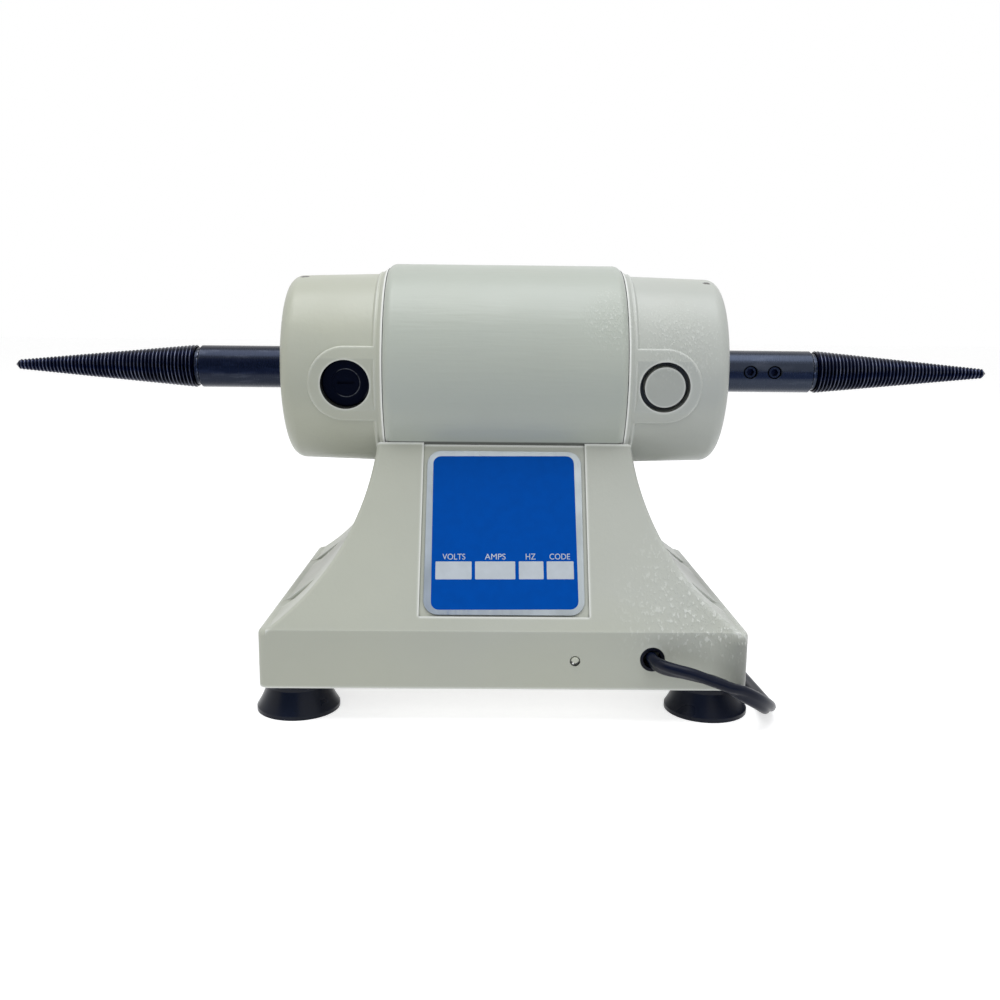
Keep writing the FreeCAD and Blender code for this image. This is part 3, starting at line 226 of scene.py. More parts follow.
class NodeTree:
    """Shorthand for making, setting and joining the nodes of one tree."""

    def __init__(self, tree):
        self.tree = tree

    def node(self, kind, **settings):
        made = self.tree.nodes.new(kind)
        for name, value in settings.items():
            setattr(made, name, value)
        return made

    def feed(self, socket, value):
        """Links a value to a socket, or sets it there if it is a plain number or colour."""
        if isinstance(value, bpy.types.NodeSocket):
            self.tree.links.new(value, socket)
        else:
            socket.default_value = value

    def calculate(self, operation, *values):
        made = self.node("ShaderNodeMath", operation=operation)
        for socket, value in zip(made.inputs, values):
            self.feed(socket, value)
        return made.outputs["Value"]

    def product(self, first, *others):
        for other in others:
            first = self.calculate("MULTIPLY", first, other)
        return first

    def between(self, value, low, high, to_low=0.0, to_high=1.0):
        """The value, moved from the range low to high into another range and held inside it."""
        made = self.node("ShaderNodeMapRange")
        for name, given in (("Value", value), ("From Min", low), ("From Max", high), ("To Min", to_low),
                            ("To Max", to_high)):
            self.feed(made.inputs[name], given)
        return made.outputs["Result"]

    def parts(self, place):
        """The x, y and z of a place."""
        split = self.node("ShaderNodeSeparateXYZ")
        self.feed(split.inputs[0], place)
        return split.outputs

    def place_at(self, x=0.0, y=0.0, z=0.0):
        """The place with the given x, y and z."""
        joined = self.node("ShaderNodeCombineXYZ")
        for socket, value in zip(joined.inputs, (x, y, z)):
            self.feed(socket, value)
        return joined.outputs[0]


class Finish(NodeTree):
    """A material being made, with its shader and its Object coordinates."""

    def __init__(self, name, colour, roughness, metallic=0.0, specular=0.5):
        self.material = bpy.data.materials.new(name)
        self.material.use_nodes = True
        super().__init__(self.material.node_tree)
        self.shader = self.tree.nodes["Principled BSDF"]
        self.shader.inputs["Base Color"].default_value = (*colour, 1)
        self.shader.inputs["Roughness"].default_value = roughness
        self.shader.inputs["Metallic"].default_value = metallic
        self.shader.inputs["Specular IOR Level"].default_value = specular
        self.place = self.node("ShaderNodeTexCoord").outputs["Object"]

    def stretched(self, factors):
        mapping = self.node("ShaderNodeMapping")
        self.feed(mapping.inputs["Vector"], self.place)
        mapping.inputs["Scale"].default_value = factors
        return mapping.outputs["Vector"]

    def noise(self, scale, detail=3.0, roughness=0.5, place=None):
        made = self.node("ShaderNodeTexNoise")
        self.feed(made.inputs["Vector"], place or self.place)
        made.inputs["Scale"].default_value = scale
        made.inputs["Detail"].default_value = detail
        made.inputs["Roughness"].default_value = roughness
        return made.outputs["Fac"]

    def streaks(self, factors, detail=2.0, roughness=0.5):
        """Noise with its own scale along each axis."""
        return self.noise(1.0, detail, roughness, self.stretched(factors))

    def mixed(self, share, first, second, blend="MIX"):
        made = self.node("ShaderNodeMix", data_type="RGBA", blend_type=blend)
        self.feed(made.inputs["Factor"], share)
        for socket, value in ((made.inputs[6], first), (made.inputs[7], second)):
            self.feed(socket, value if isinstance(value, bpy.types.NodeSocket) else (*value, 1))
        return made.outputs[2]

    def distance_from(self, point):
        made = self.node("ShaderNodeVectorMath", operation="DISTANCE")
        self.feed(made.inputs[0], self.place)
        made.inputs[1].default_value = point
        return made.outputs["Value"]

    def span(self, first, second):
        """The length of a flat vector with the two given parts."""
        squares = [self.calculate("MULTIPLY", value, value) for value in (first, second)]
        return self.calculate("SQRT", self.calculate("ADD", *squares))

    def openness(self, reach, inside=False):
        """How open a place is to the air around it, or to the metal behind it, within a reach."""
        made = self.node("ShaderNodeAmbientOcclusion", samples=8, inside=inside, only_local=inside)
        made.inputs["Distance"].default_value = reach
        return made.outputs["AO"]

    def paint(self, colour):
        self.feed(self.shader.inputs["Base Color"], colour)

    def rough(self, value):
        self.feed(self.shader.inputs["Roughness"], value)

    def bump(self, height, distance, strength=1.0, under=None):
        made = self.node("ShaderNodeBump")
        self.feed(made.inputs["Height"], height)
        made.inputs["Distance"].default_value = distance
        made.inputs["Strength"].default_value = strength
        if under:
            self.feed(made.inputs["Normal"], under)
        self.feed(self.shader.inputs["Normal"], made.outputs["Normal"])
        return made.outputs["Normal"]


def vary(colour, *factors):
    """A colour made lighter or darker by one factor, or by one for each of its parts."""
    if len(factors) == 1:
        factors = factors * 3
    return tuple(min(1.0, part * factor) for part, factor in zip(colour, factors))


# Enamel. A pair is the two ends of a band, over which a mark comes or goes.

casting_colour = (0.480, 0.496, 0.420)
# Painted light: the right bell's enamel is the casting's, painted lighter and cooler for the light it catches
right_bell_lit_colour = (0.490, 0.510, 0.440)
shell_colour = (0.458, 0.494, 0.442)
# Painted highlight colours: on the casting's edges and dry-spray pimples, and on the motor's edges
painted_highlight = (0.80, 0.82, 0.78)
painted_edge_highlight = (0.92, 0.94, 0.90)
# Painted cooler light, multiplied in towards the right of the casting and the bells
cool_light_share = (1.0, 1.005, 1.09)
warm_share = (0.985, 0.985, 0.90)
# Painted shade: for creases and joints, the skirt's corner, the shell's foot and the port walls
joint_shade = (0.035, 0.036, 0.034)
ring_colour = (0.055, 0.058, 0.052)
ring_middle_shade = 0.3
chip_colour = (0.055, 0.050, 0.045)

casting_edge_reach = 1.1 * MM
motor_edge_reach = 1.0 * MM
ridge_reach = 2.6 * MM
crease_shade_reach = 1.8 * MM
# Painted shadow on the shell where it sits in the saddle, up to just above the saddle's top
seam_shadow_height = (saddle_top + 0.2 * MM, saddle_top + 0.6 * MM)
cool_light_side = (-50 * MM, 70 * MM)
# Painted shade towards the lower right corner of the back skirt, over spans of x, y and z
painted_corner_shade = ((71 * MM, 82 * MM), (-62 * MM, -58 * MM), (28 * MM, 32 * MM))
round_cord_hole = (8 * MM, 10 * MM)
round_pin = (3 * MM, 4 * MM)
below_pin = (earth_pin.z - 0.6 * MM, earth_pin.z)
round_port = (port_radius + 0.5 * MM, port_radius + 1.2 * MM)

# Middles and reach of the coarse, dry spray: lower right of the back, right-hand bell, shell
coarse_places = [((79, -60, 37), 44), ((62, -34, 130), 20), ((40, -34, 137), 16), ((56, -42, 90), 12)]
coarse_core = 0.2
coarse_above = (22 * MM, 31 * MM)
casting_grain = 850.0
motor_grain = 1500.0
casting_pimple = 0.22 * MM
motor_pimple = 0.12 * MM

# Middles and sizes of the chips
chip_places = [((-74.5, -7.0, 151.2), 1.6), ((74.5, -11.0, 150.6), 1.3), ((-83.0, -65.0, 28.5), 1.0),
               ((41.0, -30.0, 140.0), 0.4)]
chip_raggedness = 1.6 * MM
chip_rim = (0.7 * MM, 0.9 * MM)


def enamel(name, colour, shell=False, port=None, ring=False):
    """Sprayed enamel on cast metal: faint clouds, orange peel, painted highlights on the edges and on the dry
    spray's pimples, painted shade in creases and joints, and a few chips.
    """
    casting = not (shell or port)
    finish = Finish(name, colour, 0.36)
    tone = enamel_ground(finish, colour, (1, 1, 1) if shell else cool_light_share)
    pimples, speck_highlights, region = pimpled(finish, casting_grain if casting else motor_grain)
    # Painted highlights on the tops of the dry spray's pimples
    tone = finish.mixed(finish.product(speck_highlights, 0.7 if casting else 0.4), tone, painted_highlight)
    # Painted shade: darker where the enamel is closed in, in creases, recesses and joints between parts
    joint = finish.between(finish.openness(crease_shade_reach), 0.15, 0.60, 0.92, 0.0)
    z = finish.parts(finish.place)[2]
    if casting:
        off_pin = finish.between(finish.distance_from(earth_pin), *round_pin)
        # Painted highlights on the pedestal's edges
        tone = finish.mixed(casting_edges(finish, region, off_pin), tone, painted_highlight)
        # Near the earth pin the painted crease shade stays only below its middle
        under_pin = finish.between(z, *below_pin, 1.0, 0.15)
        joint = finish.product(joint, finish.calculate("MAXIMUM", off_pin, under_pin))
    else:
        # Painted highlights on the edges of the bells and the shell
        tone = finish.mixed(motor_edges(finish, port), tone, painted_edge_highlight)
    tone = finish.mixed(joint, tone, joint_shade)
    if shell:
        # Painted shadow on the shell's foot
        tone = finish.mixed(finish.between(z, *seam_shadow_height, 0.8, 0.0), tone, joint_shade)
    if port:
        inner = ring_inner if ring else -1.0
        tone = finish.mixed(port_shade(finish, port, inner), tone, ring_colour if ring else joint_shade)
    if ring:
        x, z, _ = port_frame(finish, port)
        disc = finish.between(finish.span(x, z), ring_inner - 0.2 * MM, ring_inner, 0.18, 0.0)
        tone = finish.mixed(disc, tone, vary(colour, ring_middle_shade))
    finish.paint(finish.mixed(chips_on(finish), tone, chip_colour))
    finish.rough(finish.between(finish.noise(60.0), 0.3, 0.7, 0.32, 0.42))
    swell = finish.bump(finish.noise(120.0, 1.0), 0.08 * MM)
    peel = finish.bump(orange_peel(finish, brushed=shell), 0.05 * MM, under=swell)
    finish.bump(pimples, casting_pimple if casting else motor_pimple, under=peel)
    return finish.material


def enamel_ground(finish, colour, side_light_share):
    """The even coat: lighter and warmer clouds, painted cooler light towards the right, and painted shade at one
    corner of the skirt.
    """
    cloud = finish.between(finish.noise(16.0), 0.35, 0.65)
    tone = finish.mixed(cloud, vary(colour, 0.975), vary(colour, 1.015))
    warm = finish.noise(9.0, 2.0, place=finish.stretched((1.0, 1.0, 1.6)))
    tone = finish.mixed(finish.between(warm, 0.52, 0.68, 0.0, 0.5), tone, vary(colour, *warm_share))
    x, y, z = finish.parts(finish.place)
    # Painted light: cooler towards the right
    tone = finish.mixed(finish.between(x, *cool_light_side), tone, side_light_share, blend="MULTIPLY")
    # Painted shade, darker towards the skirt's lower right corner
    along, across, up = painted_corner_shade
    corner = finish.product(finish.between(x, *along), finish.between(y, *across, 1.0, 0.0),
                            finish.between(z, *up, 0.5, 0.0))
    return finish.mixed(corner, tone, joint_shade)


def orange_peel(finish, brushed):
    """The height of the enamel's fine dimples. On the shell the metal's long brush lines show through."""
    dimples = finish.noise(780.0, 2.0, place=finish.stretched((1.0, 1.0, 0.7)))
    if not brushed:
        return dimples
    lines = finish.streaks((60.0, 700.0, 700.0))
    return finish.calculate("ADD", finish.product(dimples, 0.4), finish.product(lines, 1.6))


def motor_edges(finish, port):
    """Painted highlights on the edges of the bells and the shell: less round a port."""
    edge = finish.between(finish.openness(motor_edge_reach, inside=True), 0.66, 0.92, 1.0, 0.0)
    if not port:
        return edge
    x, z, _ = port_frame(finish, port)
    return finish.product(edge, finish.between(finish.span(x, z), *round_port, 0.35, 1.0))


def casting_edges(finish, region, off_pin):
    """Painted highlights on the pedestal's edges: not round its small holes, and raggedly in the coarse spray."""
    edge = finish.between(finish.openness(casting_edge_reach, inside=True), 0.62, 0.94, 0.9, 0.0)
    edge = finish.product(edge, finish.between(finish.distance_from(cord_exit), *round_cord_hole), off_pin)
    ridge = finish.between(finish.openness(ridge_reach, inside=True), 0.74, 0.93, 1.0, 0.0)
    ragged = finish.between(finish.noise(620.0, 3.0, 0.6), 0.40, 0.60, 0.45, 1.0)
    return finish.calculate("MAXIMUM", edge, finish.product(ridge, ragged, region))


def pimpled(finish, grain):
    """Where the spray went on dry: its small pimples, the painted highlights on their tops, and the region."""
    region = 0.0
    for middle, reach in coarse_places:
        away = finish.distance_from(Vector(middle) * MM)
        near = finish.between(away, reach * coarse_core * MM, reach * MM, 1.0, 0.0)
        region = finish.calculate("MAXIMUM", near, region)
    z = finish.parts(finish.place)[2]
    region = finish.product(region, finish.between(z, *coarse_above, 0.1, 1.0))
    grains = finish.noise(grain, 2.0, 0.55, finish.stretched((1.0, 0.8, 0.6)))
    pimples = finish.product(finish.between(grains, 0.45, 0.70), region)
    speck_highlights = finish.product(finish.between(grains, 0.585, 0.65), region)
    return pimples, speck_highlights, region


def chips_on(finish):
    """Where the enamel is chipped away: small ragged spots at chosen places."""
    ragged = finish.product(finish.noise(1500.0, 2.0), chip_raggedness)
    inner, outer = chip_rim
    chips = 0.0
    for middle, size in chip_places:
        away = finish.calculate("ADD", finish.distance_from(Vector(middle) * MM), ragged)
        spot = finish.between(away, size * MM + inner, size * MM + outer, 1.0, 0.0)
        chips = finish.calculate("MAXIMUM", spot, chips)
    return chips


def port_frame(finish, place):
    """Places in a brush port's own frame: across its axis, and how deep below the flat of its pad."""
    mapping = finish.node("ShaderNodeMapping", vector_type="TEXTURE")
    finish.feed(mapping.inputs["Vector"], finish.place)
    mapping.inputs["Location"].default_value = (place, 0, axis_height)
    mapping.inputs["Rotation"].default_value = (port_tilt, 0, 0)
    x, along, z = finish.parts(mapping.outputs["Vector"])
    return x, z, finish.calculate("SUBTRACT", port_face, finish.calculate("ABSOLUTE", along))


def port_shade(finish, place, inner):
    """The dark walls of a port, or of the deep ring that stands in for one."""
    x, z, depth = port_frame(finish, place)
    across = finish.span(x, z)
    deep = finish.between(depth, 0.08 * MM, 0.22 * MM)
    far = finish.between(across, inner - 0.05 * MM, inner + 0.1 * MM)
    near = finish.between(across, port_radius - 0.1 * MM, port_radius + 0.1 * MM, 1.0, 0.0)
    return finish.product(deep, finish.product(far, near))


# Other finishes of the photograph

brush_black = (0.001, 0.002, 0.008)
# Painted glint colour for the brush holders' cap rim and mouth
brush_glint = (0.11, 0.12, 0.14)
cap_rim_radius = 5.0 * MM
cap_rim_width = (0.08 * MM, 0.20 * MM)
cap_rim_side = (-3.5 * MM, -1.5 * MM)
mouth_radius = (7.9 * MM, 8.2 * MM)
mouth_side = (5.8 * MM, 7.2 * MM)

# Painted shade on the earth pin's lower edge, and one painted glint
pin_shade = (0.008, 0.009, 0.008)
pin_glint = (1.0, 1.0, 1.0)
pin_shade_rise = 0.4 * MM
pin_shade_from = (0.95 * MM, 1.1 * MM)
pin_shade_top = (-0.1 * MM, 0.3 * MM)
pin_glint_place = (-0.75 * MM, -0.70 * MM)
pin_glint_size = (0.3 * MM, 0.42 * MM)

# Painted light: the same oxide, darker on the left spindle and lighter on the right, for the light each gets
left_shaded_oxide = (0.020, 0.024, 0.037)
right_lit_oxide = (0.032, 0.039, 0.057)
scuffed_oxide = (0.090, 0.100, 0.130)
worn_lip = (0.20, 0.21, 0.24)
# Painted highlight colours for the thread's crests, and painted shade for its roots
crest_highlight_dull = (0.034, 0.039, 0.066)
crest_highlight_bright = (0.115, 0.127, 0.180)
thread_root_shade = (0.002, 0.003, 0.014)
between_spindles = (-40 * MM, 40 * MM)
between_threads = (-1 * MM, 1 * MM)
lip_rise = (-2.2 * MM, -1.5 * MM)
lip_fall = (-1.0 * MM, -0.7 * MM)
thread_edge = (-0.2 * MM, 0.0)
crest_depth = (0.03 * MM, 0.10 * MM)
root_depth = (0.05 * MM, 0.26 * MM)
hollow_reach = 2.2 * MM


def brush_plastic():
    """The brush holders' black plastic, with a painted glint along one side of the cap's edge and of the mouth."""
    finish = Finish("brush_plastic", brush_black, 0.34, specular=0.06)
    x, z, _ = port_frame(finish, -port_place)
    across = finish.span(x, z)
    off_rim = finish.calculate("ABSOLUTE", finish.calculate("SUBTRACT", across, cap_rim_radius))
    rim = finish.product(finish.between(off_rim, *cap_rim_width, 1.0, 0.0), finish.between(x, *cap_rim_side))
    mouth = finish.product(finish.between(across, *mouth_radius), finish.between(x, *mouth_side))
    broken = finish.between(finish.noise(700.0, 2.0), 0.35, 0.6, 0.35, 1.0)
    # Painted glints, broken up by noise
    cap_glint = finish.product(finish.calculate("MAXIMUM", rim, mouth), broken)
    finish.paint(finish.mixed(cap_glint, brush_black, brush_glint))
    finish.bump(finish.noise(1600.0, 2.0), 0.02 * MM, 0.7)
    return finish.material


def earth_steel():
    """The earth pin: overspray on its head, with painted shade on its lower edge and one painted glint."""
    finish = Finish("earth_steel", casting_colour, 0.35)
    x, _, z = finish.parts(finish.place)
    sideways = finish.calculate("SUBTRACT", x, earth_pin.x)
    upwards = finish.calculate("SUBTRACT", z, earth_pin.z)
    away = finish.span(sideways, finish.calculate("SUBTRACT", upwards, pin_shade_rise))
    # Painted shade round the head's lower edge
    lower = finish.product(finish.between(away, *pin_shade_from),
                           finish.between(upwards, *pin_shade_top, 1.0, 0.0))
    tone = finish.mixed(lower, vary(casting_colour, 1.15), pin_shade)
    # A painted glint low on the left of the head
    nick_x, nick_z = pin_glint_place
    pin_glint_spot = finish.span(finish.calculate("SUBTRACT", sideways, nick_x),
                       finish.calculate("SUBTRACT", upwards, nick_z))
    finish.paint(finish.mixed(finish.between(pin_glint_spot, *pin_glint_size, 1.0, 0.0), tone, pin_glint))
    finish.rough(finish.between(finish.noise(900.0, 2.0), 0.3, 0.7, 0.3, 0.45))
    return finish.material


def black_oxide():
    """Blue-black oxide on turned steel: turning lines, scuffs, a worn lip, painted highlights on the thread
    crests, and painted shade in the thread roots and hollows.
    """
    finish = Finish("black_oxide", left_shaded_oxide, 0.26, 1.0)
    x, y, z = finish.parts(finish.place)
    # Painted light: the left spindle darker, the right one lighter
    tone = finish.mixed(finish.between(x, *between_spindles), left_shaded_oxide, right_lit_oxide)
    scuffs = finish.streaks((70.0, 320.0, 320.0), 4.0, 0.6)
    tone = finish.mixed(finish.between(scuffs, 0.52, 0.80, 0.0, 0.45), tone, scuffed_oxide)
    start = finish.between(x, *between_threads, left_thread_start, modelled_thread_start)
    along = finish.calculate("SUBTRACT", finish.calculate("ABSOLUTE", x), start)
    lip = finish.product(finish.between(along, *lip_rise), finish.between(along, *lip_fall, 1.0, 0.0))
    flecks = finish.between(finish.noise(520.0, 3.0, 0.7), 0.48, 0.62)
    tone = finish.mixed(finish.product(lip, flecks), tone, worn_lip)
    share = finish.calculate("DIVIDE", along, finish.calculate("SUBTRACT", spindle_tip, start))
    crest = finish.between(share, 0.0, 1.0, thread_start_radius, thread_tip_radius)
    height = finish.calculate("SUBTRACT", z, axis_height)
    depth = finish.calculate("SUBTRACT", crest, finish.span(y, height))
    threaded = finish.between(along, *thread_edge)
    # Painted highlights on the thread's crests, in patches
    crest_highlight_patches = finish.between(finish.streaks((800.0, 90.0, 90.0)), 0.38, 0.66)
    crest_highlight = finish.mixed(crest_highlight_patches, crest_highlight_dull, crest_highlight_bright)
    tone = finish.mixed(finish.product(finish.between(depth, *crest_depth, 1.0, 0.0), threaded), tone, crest_highlight)
    # Painted shade in the thread's roots and in hollows
    root = finish.product(finish.between(depth, *root_depth), threaded)
    hollow_shade = finish.between(finish.openness(hollow_reach), 0.30, 0.72, 0.92, 0.0)
    finish.paint(finish.mixed(finish.calculate("MAXIMUM", root, hollow_shade), tone, thread_root_shade))
    turning = finish.noise(2.0, 2.0, place=finish.stretched((900.0, 8.0, 8.0)))
    finish.rough(finish.between(turning, 0.3, 0.7, 0.21, 0.31))
    finish.bump(turning, 0.01 * MM, 0.5)
    return finish.material


def metal(name, colour, roughness, grain=(40.0, 40.0, 900.0), depth=0.006 * MM):
    """Bare metal with a fine grain along one axis and a little dulling."""
    finish = Finish(name, colour, roughness, 1.0)
    lines = finish.streaks(grain)
    finish.paint(finish.mixed(finish.between(finish.noise(90.0), 0.35, 0.7), colour, vary(colour, 0.82)))
    finish.rough(finish.between(lines, 0.3, 0.7, roughness * 0.8, roughness * 1.25))
    finish.bump(lines, depth, 0.6)
    return finish.material


def moulded(name, colour, roughness, grain=1600.0, depth=0.02 * MM, specular=0.5):
    """Moulded plastic or rubber: a fine spark grain and slight wear to the sheen."""
    finish = Finish(name, colour, roughness, specular=specular)
    wear = finish.noise(70.0)
    finish.paint(finish.mixed(finish.between(wear, 0.4, 0.75), colour, vary(colour, 1.5)))
    finish.rough(finish.between(wear, 0.3, 0.7, roughness * 0.88, roughness * 1.15))
    finish.bump(finish.noise(grain, 2.0), depth, 0.7)
    return finish.material


def printed(name, colour, roughness, specular=0.3):
    """Screen-printed ink: even, with a slight mottle and a soft sheen."""
    finish = Finish(name, colour, roughness, specular=specular)
    mottle = finish.noise(260.0)
    finish.paint(finish.mixed(finish.between(mottle, 0.35, 0.7), colour, vary(colour, 0.92)))
    finish.rough(finish.between(mottle, 0.3, 0.7, roughness * 0.9, roughness * 1.1))
    finish.bump(mottle, 0.006 * MM, 0.6)
    return finish.material


across_grain = (900.0, 20.0, 20.0)
polished_grain = (900.0, 30.0, 30.0)
wire_grain = (300.0, 300.0, 300.0)
winding_grain = (60.0, 900.0, 900.0)
sheet_grain = (2000.0, 10.0, 10.0)

materials = {
    "enamel": enamel("enamel", casting_colour),
    "shell_enamel": enamel("shell_enamel", shell_colour, shell=True),
    "left_enamel": enamel("left_enamel", casting_colour, port=-port_place),
    "right_enamel": enamel("right_enamel", right_bell_lit_colour, port=port_place, ring=True),
    "black_oxide_steel": black_oxide(),
    "zinc_steel": metal("zinc_steel", (0.62, 0.62, 0.60), 0.34),
    "bearing_steel": metal("bearing_steel", (0.72, 0.72, 0.72), 0.16, polished_grain, 0.002 * MM),
    "shaft_steel": metal("shaft_steel", (0.60, 0.60, 0.60), 0.26, across_grain),
    "spring_steel": metal("spring_steel", (0.50, 0.50, 0.50), 0.3, wire_grain),
    "control_case": metal("control_case", (0.55, 0.55, 0.53), 0.36),
    "board_parts": metal("board_parts", (0.42, 0.42, 0.44), 0.42),
    "brass": metal("brass", (0.70, 0.55, 0.28), 0.3),
    "copper": metal("copper", (0.62, 0.28, 0.14), 0.36, winding_grain),
    "laminations": metal("laminations", (0.30, 0.30, 0.31), 0.45, sheet_grain, 0.03 * MM),
    "plate_metal": metal("plate_metal", (0.46, 0.50, 0.50), 0.34, across_grain, 0.002 * MM),
    "rubber": moulded("rubber", (0.003, 0.005, 0.013), 0.30, 900.0, specular=0.2),
    "black_plastic": moulded("black_plastic", (0.003, 0.004, 0.009), 0.34, specular=0.15),
    "brush_plastic": brush_plastic(),
    "earth_steel": earth_steel(),
    "cord_vinyl": moulded("cord_vinyl", (0.003, 0.005, 0.015), 0.30, 1200.0, 0.01 * MM, 0.16),
    "magnet": moulded("magnet", (0.05, 0.05, 0.052), 0.6, 700.0, 0.04 * MM),
    "carbon": moulded("carbon", (0.03, 0.03, 0.032), 0.5, 1500.0),
    "board": moulded("board", (0.02, 0.12, 0.05), 0.35),
    "blue_print": printed("blue_print", (0.0, 0.072, 0.40), 0.40, 0.03),
    "white_print": printed("white_print", (0.52, 0.57, 0.62), 0.45),
    "dial_print": printed("dial_print", (0.035, 0.037, 0.040), 0.45),
    "pointer_print": printed("pointer_print", (0.72, 0.72, 0.70), 0.45),
}

# Finishes of slots and nodes that go by another name
slot_finish = {"nameplate": "plate_metal", "cord": "cord_vinyl"}
node_finish = {"motor_shell": "shell_enamel", "right_bell": "right_enamel", "left_bell": "left_enamel",
               "earth_screw": "earth_steel"}
brush_plastic_starts = ("brush_sleeve", "brush_cap")


def paint_frame():
    """Gives every CAD node the finish of its slot in the record, or its own."""
    for part in frame["record"]["subparts"]:
        name = part["node"]
        slot = part["material_slot"]
        finish = node_finish.get(name, slot_finish.get(slot, slot))
        if name.startswith(brush_plastic_starts):
            finish = "brush_plastic"
        mesh = nodes[name].data
        mesh.materials.clear()
        mesh.materials.append(materials[finish])


# Camera

def make_camera():
    lens = bpy.data.cameras.new("camera")
    lens.sensor_width = camera_sensor
    lens.lens = camera_lens
    lens.clip_start = camera_clip
    camera = new_object("camera", lens)
    level = Vector((math.cos(camera_yaw), -math.sin(camera_yaw), 0))
    forward = Vector((math.sin(camera_yaw), math.cos(camera_yaw), 0))
    ahead = forward * math.cos(camera_pitch) - Vector((0, 0, math.sin(camera_pitch)))
    over = level.cross(ahead)
    right = level * math.cos(camera_roll) + over * math.sin(camera_roll)
    up = over * math.cos(camera_roll) - level * math.sin(camera_roll)
    camera.matrix_world = local_axes(camera_place, right, up)
    bpy.context.scene.camera = camera


# Cord

def coil_points():
    """The coil's turns: in along the bench, up a layer, and out again to where the tail leaves."""
    # The smooth line runs inside its own points by this share
    cut_in = (3 + math.cos(2 * math.pi / coil_points_per_turn)) / 4
    points = []
    for step in range(int(coil_last_turn * coil_points_per_turn) + 1):
        turn = step / coil_points_per_turn
        inward = min(turn, coil_layer_turns)
        outward = min(max(turn - coil_out_from, 0.0), coil_layer_turns)
        radius = (coil_outer_radius - cord_width * inward + cord_width * outward) / cut_in
        climb = min(max((turn - coil_climb_from) / coil_climb_turns, 0.0), 1.0)
        angle = 2 * math.pi * turn
        across = coil_centre + Vector((math.cos(angle), math.sin(angle))) * radius
        points.append((*across, bench_cord + cord_thickness * climb))
    return points


def cord_line():
    """The cord's smooth centre line, as points close together."""
    run = [Vector(point) * MM for point in cord_run_points]
    tail = [Vector(point) * MM for point in cord_tail_points]
    route = run + coil_points() + tail
    curve = bpy.data.curves.new("cord_route", "CURVE")
    curve.dimensions = "3D"
    curve.resolution_u = 6
    spline = curve.splines.new("NURBS")
    spline.points.add(len(route) - 1)
    for point, place in zip(spline.points, route):
        point.co = (*place, 1)
    spline.order_u = 3
    spline.use_endpoint_u = True
    return [vertex.co.copy() for vertex in turned_to_mesh(new_object("cord_route", curve)).vertices]


def cord_section():
    """The outline of a flat twin cord: two round strands side by side with a web between."""
    lobe = cord_thickness / 2
    reach = math.pi - math.acos(cord_lobe_spacing / lobe)
    section = []
    for side in (1, -1):
        for step in range(cord_lobe_sides):
            angle = -reach + 2 * reach * step / cord_lobe_sides
            across = cord_lobe_spacing + lobe * math.cos(angle)
            section.append((side * across, side * lobe * math.sin(angle)))
    return section


def twist_at(distance):
    """The turn of the cord's wide side from level, eased between the places of the list."""
    for (low, first), (high, second) in zip(cord_twist, cord_twist[1:]):
        if distance <= high:
            share = (distance - low) / (high - low)
            return math.radians(first + (second - first) * (3 - 2 * share) * share * share)
    return math.radians(cord_twist[-1][1])


def cord_axes(line, index):
    """The level and the upward side of the cord at one point of its line."""
    before = line[max(index - 1, 0)]
    after = line[min(index + 1, len(line) - 1)]
    ahead = (after - before).normalized()
    level = ahead.cross(Vector((0, 0, 1))).normalized()
    return level, level.cross(ahead)


def tube(name, rings):
    """A closed tube through rings of points."""
    count = len(rings[0])
    faces = [tuple(range(count))]
    for ring in range(len(rings) - 1):
        start = ring * count
        faces += [(start + k, start + (k + 1) % count, start + count + (k + 1) % count, start + count + k)
                  for k in range(count)]
    last = (len(rings) - 1) * count
    faces.append(tuple(range(last, last + count)))
    mesh = mesh_from(name, [point for ring in rings for point in ring], faces)
    work = bmesh.new()
    work.from_mesh(mesh)
    weld(work, 0.001 * MM)
    face_outwards(work)
    work.to_mesh(mesh)
    work.free()
    return mesh


def evenly_back(line, step, count):
    """Points at even steps back along a line, from its end."""
    spaced = [line[-1]]
    index = len(line) - 2
    while len(spaced) <= count:
        gap = line[index] - spaced[-1]
        if gap.length < step:
            index -= 1
        else:
            spaced.append(spaced[-1] + gap * (step / gap.length))
    return spaced


def make_relief(line):
    """The ribbed sleeve that the cord leaves the plug through, along the cord's own line."""
    step = relief_length / relief_steps
    spaced = evenly_back(line, step, relief_steps)
    ribs_from, ribs_to = relief_ribbed
    angles = [2 * math.pi * k / relief_sides for k in range(relief_sides)]
    rings = []
    for index, place in enumerate(spaced):
        level, over = cord_axes(spaced, index)
        along = index * step
        share = along / relief_length
        grooved = along % relief_rib_pitch < relief_groove and ribs_from < share < ribs_to
        cut = relief_groove_depth * (1 - relief_groove_fade * share) if grooved else 0.0
        wide, thin = (near + (far - near) * share - cut
                      for near, far in zip(relief_plug_half, relief_cord_half))
        rings.append([place + level * (wide * math.cos(angle)) + over * (thin * math.sin(angle))
                      for angle in angles])
    mesh = tube("plug_relief", rings)
    smooth(mesh, 30.0)
    return placed("plug_relief", "root", "black_plastic", mesh)


def make_cord():
    line = cord_line()
    section = cord_section()
    rings = []
    distance = 0.0
    for index, place in enumerate(line):
        distance += (place - line[index - 1]).length if index else 0.0
        level, over = cord_axes(line, index)
        turn = twist_at(distance)
        wide = level * math.cos(turn) + over * math.sin(turn)
        thin = over * math.cos(turn) - level * math.sin(turn)
        rings.append([place + wide * across + thin * high for across, high in section])
    mesh = tube("cord", rings)
    smooth(mesh, 50.0)
    cord = placed("cord", "root", "cord_vinyl", mesh, ("cord_run", "cord_coil", "cord_tail"))
    relief = make_relief(line)


# Spindles

